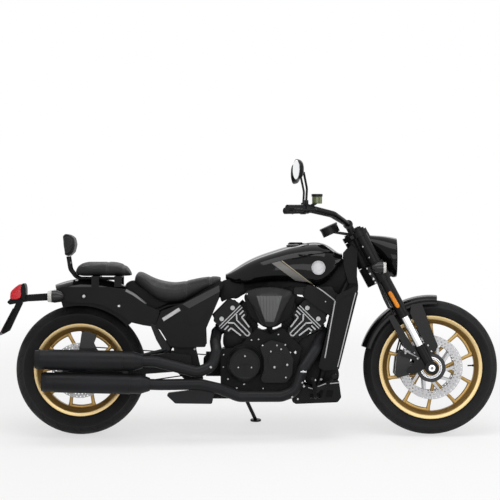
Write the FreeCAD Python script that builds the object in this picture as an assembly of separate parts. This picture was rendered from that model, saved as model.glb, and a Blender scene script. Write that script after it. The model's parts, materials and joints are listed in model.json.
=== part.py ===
import FreeCAD, Part
import math
import os

V = FreeCAD.Vector
ORIGIN = V(0, 0, 0)
ACROSS = V(0, 1, 0)

# Cruiser motorcycle: liquid cooled V-twin, cast wheels, twin side mufflers, two-up seat and backrest.
# It is modelled upright in millimetres, with X forward from the rear axle, Y to the left and Z up
# from the ground, and is then leaned over as it parks, with its origin on the ground.

# Running gear
WHEELBASE = 1724.0
RAKE = 28.0
FORK_OFFSET = 50.0
LEAN = 9.0
REAR_TYRE_R = 320.5
REAR_TYRE_W = 190.0
REAR_FLANGE_R = 228.0
REAR_RIM_W = 150.0
FRONT_TYRE_R = 332.0
FRONT_TYRE_W = 130.0
FRONT_FLANGE_R = 254.7
FRONT_RIM_W = 90.0
TYRE_WALL = 9.0
FLANGE_H = 13.0
RIM_WALL = 6.0

# Fits and working clearances
SEAT_GAP = 0.3
RUN_GAP = 5.0

# Wheel centres: pairs of blades from the hub to the rim
BLADE_PAIRS = 5
BLADE_W = 18.0
BLADE_DEPTH_HUB = 44.0
BLADE_DEPTH_RIM = 26.0
BLADE_SPREAD_HUB = 17.0
BLADE_SPREAD_RIM = 31.0
WEB_H = 24.0
HUB_R = 40.0
HUB_WAIST_R = 32.0
FRONT_HUB_HALF = 78.0
REAR_HUB_HALF = 131.0
AXLE_R = 11.0
AXLE_BORE_R = 7.5
FRONT_BLADE_ANGLE = 250.0
REAR_BLADE_ANGLE = 271.6

# Brakes
FRONT_DISC_R = 155.0
REAR_DISC_R = 135.0
DISC_BAND = 42.0
DISC_T = 5.0
DISC_CARRIER_R = 70.0
DISC_ARMS = 10
FRONT_DISC_Y = 70.0
REAR_DISC_Y = 112.0
CALIPER_ARM = 16.0
FRONT_CALIPER_ANGLE = 174.0
REAR_CALIPER_ANGLE = 75.0

# Fork, along the leg from the axle and across it
LEG_Y = 105.0
FOOT_R = 25.0
FOOT_BOSS_R = 33.0
FOOT_LOW = -24.0
FOOT_TOP = 125.0
SLIDER_R = 20.5
SLIDER_IN = 60.0
TUBE_R = 29.0
TUBE_LOW = 283.0
TUBE_TOP = 770.0
LOWER_CLAMP = (490.0, 585.0)
UPPER_CLAMP = (735.0, 760.0)
CLAMP_WALL = 9.0
STEM_R = 22.0
HEAD_TUBE_R = 36.0
HEAD_TUBE_GAP = 4.0
HOSE_R = 4.0
STAY_Y = 85.0
STAY_T = 8.0

# Bars and headlight
BAR_R = 12.7
GRIP_R = 17.0
CONTROL_R = 21.0
HEADLIGHT_X = WHEELBASE - 166.0
HEADLIGHT_Z = 873.0
HEADLIGHT_R = 97.0

# Frame and swingarm
RAIL_Y = 92.0
RAIL_R = 14.0
SEAT_RAIL_R = 13.0
DOWN_TUBE = [(WHEELBASE - 398, 26, 778), (1272, RAIL_Y, 668), (1185, RAIL_Y, 290), (1150, RAIL_Y, 195),
             (640, RAIL_Y, 195), (545, RAIL_Y, 262), (520, RAIL_Y, 330)]
BACKBONE = ((1200.0, 818.0), (880.0, 768.0), (745.0, 735.0), (600.0, 660.0))
BACKBONE_R = 26.0
TANK_PADS = ((1150.0, 818.0), (800.0, 757.0))
PLATE_T = 14.0
PIVOT = (505.0, 365.0)
PIVOT_R = 17.0
ARM_Y = 150.0
ARM_T = 26.0
REAR_AXLE_R = 11.0
PULLEY_Y = 106.0
PULLEY_W = 22.0
REAR_PULLEY_R = 105.0
DRIVE_PULLEY = (640.0, 345.0)
DRIVE_PULLEY_R = 38.0
BELT_T = 5.0

# Engine
CRANK = (932.0, 389.0)
BANK = 45.0
DECK = 140.0
HEAD_LOW = 235.0
HEAD_HIGH = 300.0
COVER_HIGH = 345.0
BARREL_HALF = 58.0
HEAD_HALF = 74.0
HEAD_HALF_Y = 68.0
CASE_HALF = 118.0
COVER_Y0 = -72.0
COVER_T = 14.0
RIB_H = 7.0

# Bodywork
TANK_HALF = 152.0
TUNNEL_HALF = 31.0
FILLER = (1060.0, 936.0)
FILLER_R = 42.0
LID_T = 12.0
FENDER_CENTRE = (40.0, 330.0)
FENDER_WALL = 3.5
REAR_FENDER_R = 460.0
REAR_FENDER_HALF = 112.0
FRONT_FENDER_R = 357.0
FRONT_FENDER_HALF = 74.0
STRUT_Y = 116.0
STRUT_T = 12.0
DOCKING = ((20.0, 684.0), (192.0, 652.0))
DOCK_R = 8.0
DOCK_L = 18.0
COVER_Y = 136.0
SHROUD_Y = 134.0
WING_Y = 112.0
PAN_HALF = 146.0
PAN_WALL = 5.0

# Exhaust
PIPE_R = 27.0
MUFFLER_R = 50.0
PORT_OUT = HEAD_HALF + PIPE_R + 2.0
MUFFLER_Y = -262.0
UPPER_MUFFLER = ((-206.0, 381.0), (316.0, 371.0))
LOWER_MUFFLER = ((-175.0, 272.5), (350.0, 260.0))

# Pegs and side stand
PEG_X = 1152.0
STAND_Y = 142.0
STAND_T = 14.0
STAND_PIVOT = V(803, STAND_Y, 188)
STAND_AXIS = V(0.174, 0.638, 0.750)
STAND_LEG = V(60, 150, -141)
STAND_HUB_R = 15.0
STAND_BOLT_R = 6.0


# Helpers for outlines, sweeps and lofts

def side(pairs, y=0.0):
    """Points of a side view at one lateral place."""
    return [V(x, y, z) for x, z in pairs]


def corner_arc(before, corner, after, radius):
    """Start, middle and end of the tangent arc that turns one corner."""
    back = before - corner
    ahead = after - corner
    reach = 0.48 * min(back.Length, ahead.Length)
    back.normalize()
    ahead.normalize()
    half = (math.pi - back.getAngle(ahead)) / 2
    step = min(radius * math.tan(half), reach)
    bend = step / math.tan(half)
    inward = back + ahead
    inward.normalize()
    middle = corner + inward * (bend / math.cos(half) - bend)
    return corner + back * step, middle, corner + ahead * step


def turns(before, corner, after):
    """Whether a line turns at this corner rather than running straight on."""
    return (before - corner).getAngle(after - corner) < math.pi - 0.01


def rounded(points, radius):
    """Closed wire through the points with every corner turned by an arc."""
    total = len(points)
    points = [p for i, p in enumerate(points) if turns(points[i - 1], p, points[(i + 1) % total])]
    count = len(points)
    arcs = [corner_arc(points[i - 1], points[i], points[(i + 1) % count], radius) for i in range(count)]
    edges = []
    for i, (start, middle, end) in enumerate(arcs):
        edges.append(Part.Arc(start, middle, end).toShape())
        edges.append(Part.LineSegment(end, arcs[(i + 1) % count][0]).toShape())
    return Part.Wire(edges)


def route(points, bend):
    """Open wire of straight runs joined by tangent arcs."""
    edges = []
    place = points[0]
    for i in range(1, len(points) - 1):
        start, middle, end = corner_arc(points[i - 1], points[i], points[i + 1], bend)
        edges.append(Part.LineSegment(place, start).toShape())
        edges.append(Part.Arc(start, middle, end).toShape())
        place = end
    edges.append(Part.LineSegment(place, points[-1]).toShape())
    return Part.Wire(edges)


def tube(points, radius, bend=60.0):
    """Round bar or pipe along a route."""
    ring = Part.Wire(Part.makeCircle(radius, points[0], points[1] - points[0]))
    return route(points, bend).makePipeShell([ring], True, False)


def plate(pairs, y0, y1, radius=5.0):
    """Side-view outline with rounded corners, as thick as the two lateral places are apart."""
    return Part.Face(rounded(side(pairs, y0), radius)).extrude(V(0, y1 - y0, 0))


def block(x, y, z):
    """Box between three pairs of limits."""
    return Part.makeBox(x[1] - x[0], y[1] - y[0], z[1] - z[0], V(x[0], y[0], z[0]))


def rod(start, end, radius):
    """Cylinder between two points."""
    return Part.makeCylinder(radius, (end - start).Length, start, end - start)


def cross_rod(x, z, y0, y1, radius):
    """Cylinder across the bike."""
    return rod(V(x, y0, z), V(x, y1, z), radius)


def turned(profile, degrees=360.0):
    """Profile of (radius, lateral place) points turned about the lateral axis from +X."""
    points = [V(r, y, 0) for r, y in profile]
    face = Part.Face(Part.makePolygon(points + [points[0]]))
    return face.revolve(ORIGIN, V(0, -1, 0), degrees)


def swing(shape, degrees, centre=(0.0, 0.0)):
    """Shape turned in side view, anticlockwise when seen from the right, about a centre."""
    copy = shape.copy()
    copy.rotate(V(centre[0], 0, centre[1]), V(0, -1, 0), degrees)
    return copy


def moved(shape, x=0.0, y=0.0, z=0.0):
    """Shape carried to another place."""
    copy = shape.copy()
    copy.translate(V(x, y, z))
    return copy


def mirrored(shape):
    """The same shape on the other side of the bike."""
    return shape.mirror(ORIGIN, ACROSS)


def both(shape):
    """A shape and its twin on the other side."""
    return [shape, mirrored(shape)]


def closed_curve(points):
    """Smooth closed wire through the points."""
    curve = Part.BSplineCurve()
    curve.interpolate(Points=points, PeriodicFlag=True)
    return Part.Wire(curve.toShape())


def skin(sections):
    """Smooth solid through closed sections."""
    return Part.makeLoft(sections, True, False)


def joined(shapes):
    """One solid out of pieces that run into each other."""
    whole = shapes[0]
    for shape in shapes[1:]:
        whole = whole.fuse(shape)
    return whole.removeSplitter()


def on_fork(shape):
    """Shape modelled with Z up the fork leg and X ahead of it, carried to the front axle."""
    copy = shape.copy()
    copy.rotate(ORIGIN, ACROSS, -RAKE)
    copy.translate(V(WHEELBASE, 0, FRONT_TYRE_R))
    return copy


def fork_place(along, ahead=0.0, y=0.0):
    """Bike place of a point given along the leg, ahead of it and across."""
    tilt = math.radians(RAKE)
    x = WHEELBASE - along * math.sin(tilt) + ahead * math.cos(tilt)
    z = FRONT_TYRE_R + along * math.cos(tilt) + ahead * math.sin(tilt)
    return V(x, y, z)


# Wheels

def arc_places(centre_r, centre_y, radius, first, last, count):
    """Places (radius, lateral) along an arc of a turned section, between two angles from straight out."""
    places = []
    for i in range(count + 1):
        angle = math.radians(first + (last - first) * i / count)
        places.append((centre_r + radius * math.cos(angle), centre_y + radius * math.sin(angle)))
    return places


def tyre(outer_r, width, flange_r, rim_width):
    """Tyre as a turned section: crown that rolls on its edge at the parked lean, bellied walls and beads."""
    half = width / 2
    seat_r = flange_r - FLANGE_H + SEAT_GAP
    bead = rim_width / 2 - RIM_WALL - SEAT_GAP
    drop = 0.42 * half
    edge = 0.92 * half
    crown_r = (drop ** 2 + edge ** 2) / (2 * drop)
    turn = math.degrees(math.asin(edge / crown_r))
    foot_r = flange_r + 3
    rise = outer_r - drop - foot_r
    out_r, out_y = math.cos(math.radians(turn)), math.sin(math.radians(turn))
    wall_r = (rise ** 2 + (edge - bead) ** 2) / (2 * (rise * out_r + (edge - bead) * out_y))
    middle_r = outer_r - drop - wall_r * out_r
    middle_y = edge - wall_r * out_y
    outside = arc_places(outer_r - crown_r, 0.0, crown_r, LEAN, turn, 2)
    outside += arc_places(middle_r, middle_y, wall_r, turn, 180.0, 2)[1:-1] + [(foot_r, bead)]
    lined = wall_r - 1.5 * TYRE_WALL
    inside = arc_places(middle_r, middle_y, lined, 120.0, turn,
                        1) + [(outer_r - 1.5 * TYRE_WALL, 0.35 * half)]
    right = outside + [(seat_r, bead), (seat_r, bead - TYRE_WALL)] + inside
    return turned(right + [(r, -y) for r, y in reversed(right)])


def rim_ring(flange_r, width):
    """Rim barrel: two flanges, bead seats and a drop centre."""
    half = width / 2
    seat = flange_r - FLANGE_H
    inner = rim_inner(flange_r)
    right = [(seat - 14, 0.3 * half), (seat, 0.5 * half), (seat, half - RIM_WALL),
             (flange_r, half - RIM_WALL), (flange_r, half), (seat - RIM_WALL, half), (inner, 0.5 * half)]
    left = [(r, -y) for r, y in reversed(right)]
    return turned(right + left)


def rim_inner(flange_r):
    """Radius of the rim's inner edge, where the blades end."""
    return flange_r - 39.0


def blade(side_sign, flange_r):
    """One of a pair of blades, out along +X."""
    low = 0.7 * HUB_R
    high = rim_inner(flange_r) + 4.0
    wires = []
    for r, spread, depth in ((low, BLADE_SPREAD_HUB, BLADE_DEPTH_HUB),
                             (high, BLADE_SPREAD_RIM, BLADE_DEPTH_RIM)):
        z = side_sign * spread
        w = BLADE_W / 2
        d = depth / 2
        wires.append(rounded([V(r, -d, z - w), V(r, d, z - w), V(r, d, z + w), V(r, -d, z + w)], 4.0))
    return Part.makeLoft(wires, True, True)


def blade_web(flange_r):
    """Arched web that joins a pair of blades under the rim."""
    inner = rim_inner(flange_r)
    half = BLADE_DEPTH_RIM / 2
    spread = math.degrees(math.asin((BLADE_SPREAD_RIM + BLADE_W / 4) / inner))
    ring = turned([(inner - WEB_H, -half), (inner + 4, -half), (inner + 4, half), (inner - WEB_H, half)],
                  2 * spread)
    return swing(ring, -spread)


def hub(half_length, bore_r, disc_y):
    """Turned hub: a belt for the blades, two waists and the seats of the discs."""
    belt = BLADE_DEPTH_HUB / 2 + 6
    right = [(bore_r, half_length), (HUB_R - 3, half_length), (HUB_R, half_length - 3), (HUB_R, disc_y - 4),
             (HUB_WAIST_R, disc_y - 12), (HUB_WAIST_R, belt + 8), (HUB_R, belt)]
    left = [(r, -y) for r, y in reversed(right)]
    return turned(right + left)


def cast_wheel(flange_r, width, hub_half, bore_r, disc_y, first_angle):
    """Rim, hub and the pairs of blades, cast in one piece."""
    pieces = [rim_ring(flange_r, width), hub(hub_half, bore_r, disc_y)]
    for i in range(BLADE_PAIRS):
        angle = first_angle + i * 360.0 / BLADE_PAIRS
        for sign in (-1, 1):
            pieces.append(swing(blade(sign, flange_r), angle))
        pieces.append(swing(blade_web(flange_r), angle))
    wheel = joined(pieces)
    bore = cross_rod(0, 0, -hub_half - 1, hub_half + 1, bore_r)
    return wheel.cut(bore)


def disc(outer_r, inside_y):
    """Brake disc: friction band, slanted arms and the carrier that sits on the hub."""
    y0, y1 = inside_y, inside_y + DISC_T
    band_r = outer_r - DISC_BAND
    band = turned([(band_r, y0), (outer_r, y0), (outer_r, y1), (band_r, y1)])
    hole_r = HUB_R + SEAT_GAP
    carrier = turned([(hole_r, y0), (DISC_CARRIER_R, y0), (DISC_CARRIER_R, y1), (hole_r, y1)])
    pieces = [band, carrier]
    for i in range(DISC_ARMS):
        arm = plate([(DISC_CARRIER_R - 4, -6), (band_r + 4, -12), (band_r + 4, 2), (DISC_CARRIER_R - 4, 6)],
                    y0, y1, 1)
        pieces.append(swing(arm, i * 360.0 / DISC_ARMS))
    return joined(pieces)


def caliper(disc_r, disc_y, length, outward):
    """Caliper over the rim of a disc, out along +X, with its slot round the disc."""
    inner = disc_y - RUN_GAP - CALIPER_ARM
    outer = disc_y + DISC_T + RUN_GAP + CALIPER_ARM
    low = disc_r - DISC_BAND - 6
    high = disc_r + outward
    half = length / 2
    body = plate([(low, -0.7 * half), (high - 14, -half), (high, -0.75 * half), (high, 0.75 * half),
                  (high - 14, half), (low, 0.7 * half)], inner, outer, 7)
    slot = block((low - 10, disc_r + RUN_GAP), (disc_y - RUN_GAP, disc_y + DISC_T + RUN_GAP),
                 (-half - 5, half + 5))
    return body.cut(slot)


# Steering head, fork and what turns with the bars

def yokes():
    """Stem with the lower and upper fork clamps."""
    pieces = [rod(V(-FORK_OFFSET, 0, LOWER_CLAMP[0]), V(-FORK_OFFSET, 0, UPPER_CLAMP[1] + 8), STEM_R)]
    ring_r = TUBE_R + CLAMP_WALL
    for low, high, ahead in ((LOWER_CLAMP[0], LOWER_CLAMP[1], -8.0),
                             (UPPER_CLAMP[0], UPPER_CLAMP[1], 14.0)):
        web = rounded([V(-FORK_OFFSET - 36, -38, low), V(-FORK_OFFSET - 36, 38, low),
                       V(-26, LEG_Y, low), V(ahead, LEG_Y - 12, low),
                       V(ahead, -LEG_Y + 12, low), V(-26, -LEG_Y, low)], 10)
        pieces.append(Part.Face(web).extrude(V(0, 0, high - low)))
        for y in (-LEG_Y, LEG_Y):
            pieces.append(rod(V(0, y, low), V(0, y, high), ring_r))
            ear = block((-ring_r - 14, -ring_r + 12), (y - 13, y + 13), (low + 4, high - 4))
            pieces.append(ear)
    shape = joined(pieces)
    for y in (-LEG_Y, LEG_Y):
        shape = shape.cut(rod(V(0, y, LOWER_CLAMP[0] - 5), V(0, y, TUBE_TOP), TUBE_R + SEAT_GAP))
    return on_fork(shape)


def fork_tubes():
    """Outer tubes, bored at the foot for the sliding tubes."""
    tubes = []
    for y in (-LEG_Y, LEG_Y):
        body = rod(V(0, y, TUBE_LOW), V(0, y, TUBE_TOP), TUBE_R)
        lip = rod(V(0, y, TUBE_LOW), V(0, y, TUBE_LOW + 16), TUBE_R + 3)
        cap = rod(V(0, y, TUBE_TOP), V(0, y, TUBE_TOP + 10), 0.6 * TUBE_R)
        bore = rod(V(0, y, TUBE_LOW - 1), V(0, y, TUBE_LOW + SLIDER_IN), SLIDER_R + SEAT_GAP)
        tubes.append(on_fork(joined([body, lip, cap]).cut(bore)))
    return tubes


def fork_sliders():
    """Bright sliding tubes between the feet and the outer tubes."""
    top = TUBE_LOW + SLIDER_IN - SEAT_GAP
    return [on_fork(rod(V(0, y, FOOT_TOP), V(0, y, top), SLIDER_R)) for y in (-LEG_Y, LEG_Y)]


def fork_feet():
    """Cast feet with the axle boss, and the lug that carries the caliper."""
    feet = []
    outside = FRONT_DISC_Y + DISC_T + RUN_GAP + CALIPER_ARM
    lug = plate([(-108, 128), (-88, 146), (-24, 60), (-10, 10), (-90, 14), (-120, 34), (-104, 52),
                 (-52, 66)],
                outside + SEAT_GAP, outside + 14, 8)
    for sign in (-1, 1):
        y = sign * LEG_Y
        column = rod(V(0, y, FOOT_LOW), V(0, y, FOOT_TOP), FOOT_R)
        inner = FRONT_HUB_HALF + 1.0
        boss = cross_rod(0, 0, sign * inner, sign * (LEG_Y + 26), FOOT_BOSS_R)
        arm = lug if sign > 0 else mirrored(lug)
        axle_hole = cross_rod(0, 0, -LEG_Y - 60, LEG_Y + 60, AXLE_R + SEAT_GAP)
        feet.append(on_fork(joined([column, boss, arm]).cut(axle_hole)))
    return feet


def front_axle():
    """Hollow front axle with a flange at the right end."""
    half = LEG_Y + 28
    shape = cross_rod(0, 0, -half, half, AXLE_R).fuse(cross_rod(0, 0, -half - 4, -half + 1.5, AXLE_R + 5))
    shape = shape.cut(cross_rod(0, 0, -half - 10, half + 10, AXLE_BORE_R))
    return moved(shape, WHEELBASE, 0, FRONT_TYRE_R)


def arched_guard(outer_r, half, skirt, start, sweep):
    """Mudguard: arched section turned about the wheel's centre."""
    wall = FENDER_WALL
    outer = [V(outer_r - skirt, -half, 0), V(outer_r - 0.35 * half, -0.96 * half, 0), V(outer_r, 0, 0),
             V(outer_r - 0.35 * half, 0.96 * half, 0), V(outer_r - skirt, half, 0)]
    inner = [V(outer_r - skirt, half - wall, 0), V(outer_r - 0.35 * half, 0.96 * half - wall, 0),
             V(outer_r - wall, 0, 0),
             V(outer_r - 0.35 * half, -0.96 * half + wall, 0), V(outer_r - skirt, -half + wall, 0)]
    crown = Part.BSplineCurve()
    crown.interpolate(Points=outer)
    lining = Part.BSplineCurve()
    lining.interpolate(Points=inner)
    edges = [crown.toShape(), Part.LineSegment(outer[-1], inner[0]).toShape(),
             lining.toShape(), Part.LineSegment(inner[-1], outer[0]).toShape()]
    shape = Part.Face(Part.Wire(edges)).revolve(ORIGIN, V(0, -1, 0), sweep)
    return swing(shape, start)


def stay_front():
    """Right front stay of the mudguard, along and ahead of the leg: plate, bridge to the guard and foot seat."""
    y0 = STAY_Y
    y1 = STAY_Y + STAY_T
    side_plate = plate([(34, 286), (59, 322), (106, 300), (79, 79), (46, 57), (27, 84)], y0, y1, 10)
    bridge = plate([(58, 308), (60, 321), (100, 303), (94, 298)], FRONT_FENDER_HALF - FENDER_WALL + 1,
                   y0 + 1, 2)
    seat = plate([(8, 64), (40, 60), (40, 118), (8, 118)], y0, y1, 4)
    return joined([side_plate, bridge, seat])


def stay_rear():
    """Right rear stay of the mudguard."""
    y0 = STAY_Y
    y1 = STAY_Y + STAY_T
    side_plate = plate([(-70, 324), (-42, 318), (-31, 143), (-10, 122), (-10, 70), (-28, 70), (-46, 100),
                        (-70, 150)],
                       y0, y1, 6)
    bridge = plate([(-69, 307), (-69, 321), (-55, 323), (-55, 309)], FRONT_FENDER_HALF - FENDER_WALL + 1,
                   y0 + 1, 2)
    return joined([side_plate, bridge])


def front_fender():
    """Front mudguard with its stays, which seat on the fork feet outside the discs."""
    guard = moved(arched_guard(FRONT_FENDER_R, FRONT_FENDER_HALF, 46, 85, 78), WHEELBASE, 0, FRONT_TYRE_R)
    foot = rod(V(0, LEG_Y, FOOT_LOW), V(0, LEG_Y, TUBE_LOW), FOOT_R + SEAT_GAP)
    stays = []
    for stay in (stay_front(), stay_rear()):
        stays += both(on_fork(stay.cut(foot)))
    return joined([guard] + stays)


def front_calipers():
    """A caliper on each side behind the fork foot, with its hose from the lower clamp."""
    body = swing(caliper(FRONT_DISC_R, FRONT_DISC_Y, 132, 20), FRONT_CALIPER_ANGLE)
    body = moved(body, WHEELBASE, 0, FRONT_TYRE_R)
    y = STAY_Y - HOSE_R - 1.5
    hose = tube([fork_place(LOWER_CLAMP[0] - SEAT_GAP, -30, y), fork_place(400, -40, y),
                 fork_place(260, -44, y), fork_place(186, -66, y), fork_place(136, -112, y)], HOSE_R, 50)
    return both(joined([body, hose]))


def bar_route():
    """Places along the right half of the handlebar, from its middle to its end."""
    back = WHEELBASE
    return [V(back - 406, -62, 1036), V(back - 482, -205, 1086), V(back - 590, -300, 1112),
            V(back - 712, -400, 1110)]


def handlebar():
    """Tapered bend of tube in two risers on the upper clamp."""
    right = bar_route()
    left = [V(p.x, -p.y, p.z) for p in reversed(right)]
    bar = tube(right[::-1] + left[::-1], BAR_R, 80)
    pieces = [bar]
    for y in (-45, 45):
        foot = fork_place(UPPER_CLAMP[1] + SEAT_GAP, -28.0, y)
        top = fork_place(812, -28.0, y)
        pieces.append(rod(foot, top, 17))
        pieces.append(cross_rod(bar_route()[0].x, 1036, y - 17, y + 17, 22))
    return joined(pieces)


def along_grip(start, end, radius, bore):
    """Sleeve on the straight end of the right bar, between two shares of its length."""
    inner, outer = bar_route()[2:4]
    run = outer - inner
    a = inner + run * start
    b = inner + run * end
    return rod(a, b, radius).cut(rod(a - run, b + run, bore)) if bore else rod(a, b, radius)


def grips():
    """Rubber grips on the bar ends."""
    return both(along_grip(0.34, 1.0, GRIP_R, BAR_R + SEAT_GAP))


def lever_control():
    """Lever in its clamp on the right bar, with a ball at the end."""
    inner, outer = bar_route()[2:4]
    run = outer - inner
    perch = inner + run * 0.105
    clamp = along_grip(0.055, 0.155, CONTROL_R - 3, 0)
    ahead = V(38, -18, -8)
    tip = perch + ahead * 1.15 + run * 0.93
    lever = tube([perch + V(10, -4, -1), perch + ahead, perch + ahead + run * 0.4, tip], 6.0, 25)
    return joined([clamp, lever, Part.makeSphere(8.5, tip)]), perch


def bar_controls():
    """Switch housings and levers on both bars, with the brake's fluid cup on the right."""
    housing = along_grip(0.175, 0.33, CONTROL_R, BAR_R + SEAT_GAP)
    lever, perch = lever_control()
    base = perch + V(36, 10, 22)
    cup = [rod(perch + V(6, 2, 9), base + V(-4, 0, 5), 8), rod(base, base + V(0, 0, 34), 24),
           rod(base + V(0, 0, 34), base + V(0, 0, 46), 27)]
    bar = along_grip(-0.1, 1.0, BAR_R + SEAT_GAP, 0)
    return both(housing) + [joined([lever] + cup).cut(bar), mirrored(lever.cut(bar))]


def mirrors():
    """Mirrors on stems above the bars."""
    foot = V(WHEELBASE - 620, -325, 1126)
    top = foot + V(-12, -17, 158)
    stem = tube([foot + V(0, 0, 12), foot + V(4, -1, 79), top], 5.5, 60)
    boss = rod(foot, foot + V(0, 0, 24), 11).cut(along_grip(0.1, 0.45, CONTROL_R + SEAT_GAP, 0))
    oval = []
    for i in range(12):
        a = math.radians(30.0 * i)
        oval.append(V(0, 74 * math.cos(a), 50 * math.sin(a)))
    bowl = skin([closed_curve([V(p.x, p.y, p.z) for p in oval]),
                 closed_curve([V(16, 0.94 * p.y, 0.94 * p.z) for p in oval]),
                 closed_curve([V(26, 0.62 * p.y, 0.62 * p.z) for p in oval])])
    bowl.rotate(ORIGIN, V(0, 0, 1), 12)
    head = moved(bowl, foot.x - 48, -362, 1296)
    arm = rod(top + V(0, 1, -4), V(foot.x - 28, -352, 1292), 6)
    return both(joined([stem, boss, arm, head]))


def instrument():
    """Round instrument pod on a bracket above the upper clamp."""
    centre = V(WHEELBASE - 495, 0, 1008)
    axis = V(-0.42, 0, 0.91)
    pod = rod(centre - axis * 22, centre + axis * 14, 44).fuse(rod(centre + axis * 14, centre + axis * 20,
                                                                   47))
    foot = fork_place(UPPER_CLAMP[1] + SEAT_GAP, -FORK_OFFSET, 0)
    stalk = plate([(foot.x - 8, foot.z + 1), (foot.x + 16, foot.z + 12), (centre.x + 33, 1003),
                   (centre.x + 7, 994)], -12, 12, 3)
    return joined([pod, stalk]).cut(rod(fork_place(700, -FORK_OFFSET),
                                        fork_place(UPPER_CLAMP[1] + 8.4, -FORK_OFFSET),
                                        STEM_R + SEAT_GAP))


def ring_at(x, y_half, z_low, z_high, count=12):
    """Oval section across the bike."""
    middle = (z_low + z_high) / 2
    half = (z_high - z_low) / 2
    points = []
    for i in range(count):
        a = 2 * math.pi * i / count
        points.append(V(x, y_half * math.cos(a), middle + half * math.sin(a)))
    return closed_curve(points)


def headlight():
    """Deep cowl round the lamp, narrowed between the fork legs."""
    low = HEADLIGHT_Z - HEADLIGHT_R
    high = HEADLIGHT_Z + HEADLIGHT_R
    cowl = skin([ring_at(HEADLIGHT_X - 146, 44, 905, 984), ring_at(HEADLIGHT_X - 108, 62, 868, 982),
                 ring_at(HEADLIGHT_X - 58, 84, 806, 978),
                 ring_at(HEADLIGHT_X - 14, HEADLIGHT_R, low - 1, high + 1),
                 ring_at(HEADLIGHT_X, HEADLIGHT_R - 2, low + 2, high - 2)])
    well = rod(V(HEADLIGHT_X - 40, 0, HEADLIGHT_Z), V(HEADLIGHT_X + 10, 0, HEADLIGHT_Z), HEADLIGHT_R - 10)
    cowl = cowl.cut(well)
    for y in (-LEG_Y, LEG_Y):
        leg = on_fork(rod(V(0, y, LOWER_CLAMP[0] - 40), V(0, y, TUBE_TOP + 40), TUBE_R + CLAMP_WALL + 3))
        cowl = cowl.cut(leg)
    cowl = cowl.cut(on_fork(block((-120, -6), (-70, 70), (LOWER_CLAMP[0] - 30, LOWER_CLAMP[1] + 2))))
    tab = on_fork(block((-4, 42), (16, 32), (690, UPPER_CLAMP[0] - SEAT_GAP)))
    return joined([cowl] + both(tab))


def headlight_lens():
    """Domed lens seated in the cowl."""
    r = HEADLIGHT_R - 10 - SEAT_GAP
    edge = HEADLIGHT_X - 12
    base = rod(V(HEADLIGHT_X - 39, 0, HEADLIGHT_Z), V(edge, 0, HEADLIGHT_Z), r)
    depth = 10.0
    ball_r = (r * r + depth * depth) / (2 * depth)
    ball = Part.makeSphere(ball_r, V(edge + depth - ball_r, 0, HEADLIGHT_Z))
    dome = rod(V(edge - 1, 0, HEADLIGHT_Z), V(edge + depth + 1, 0, HEADLIGHT_Z), r).common(ball)
    return base.fuse(dome).removeSplitter()


def lamp_pod(length, height, width):
    """Small lamp body along +X, blunt ahead and rounded behind."""
    sections = [ring_at(-0.48 * length, 0.3 * width, -0.2 * height, 0.2 * height),
                ring_at(-0.25 * length, 0.44 * width, -0.42 * height, 0.42 * height),
                ring_at(0.3 * length, 0.5 * width, -0.5 * height, 0.5 * height),
                ring_at(0.5 * length, 0.46 * width, -0.46 * height, 0.46 * height)]
    return skin(sections)


def front_indicators():
    """Front indicators on stalks from the lower clamp."""
    pod = moved(lamp_pod(70, 54, 54), WHEELBASE - 262, -178, 824)
    start = fork_place(530, 0, -LEG_Y - TUBE_R - CLAMP_WALL - SEAT_GAP)
    stalk = tube([start, start - V(0, 20, 0), V(WHEELBASE - 264, -178, 823)], 9, 16)
    return both(joined([pod, stalk]))


# Frame, swingarm and final drive

def head_place(along):
    """Place on the steering axis."""
    return fork_place(along, -FORK_OFFSET)


def seat_rail(sign, radius):
    """Rail under one side of the rider seat."""
    places = [(612, 80, 664), (520, 84, 648), (430, 92, 636), (345, 101, 594)]
    return tube([V(x, sign * y, z) for x, y, z in places], radius, 60)


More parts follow.
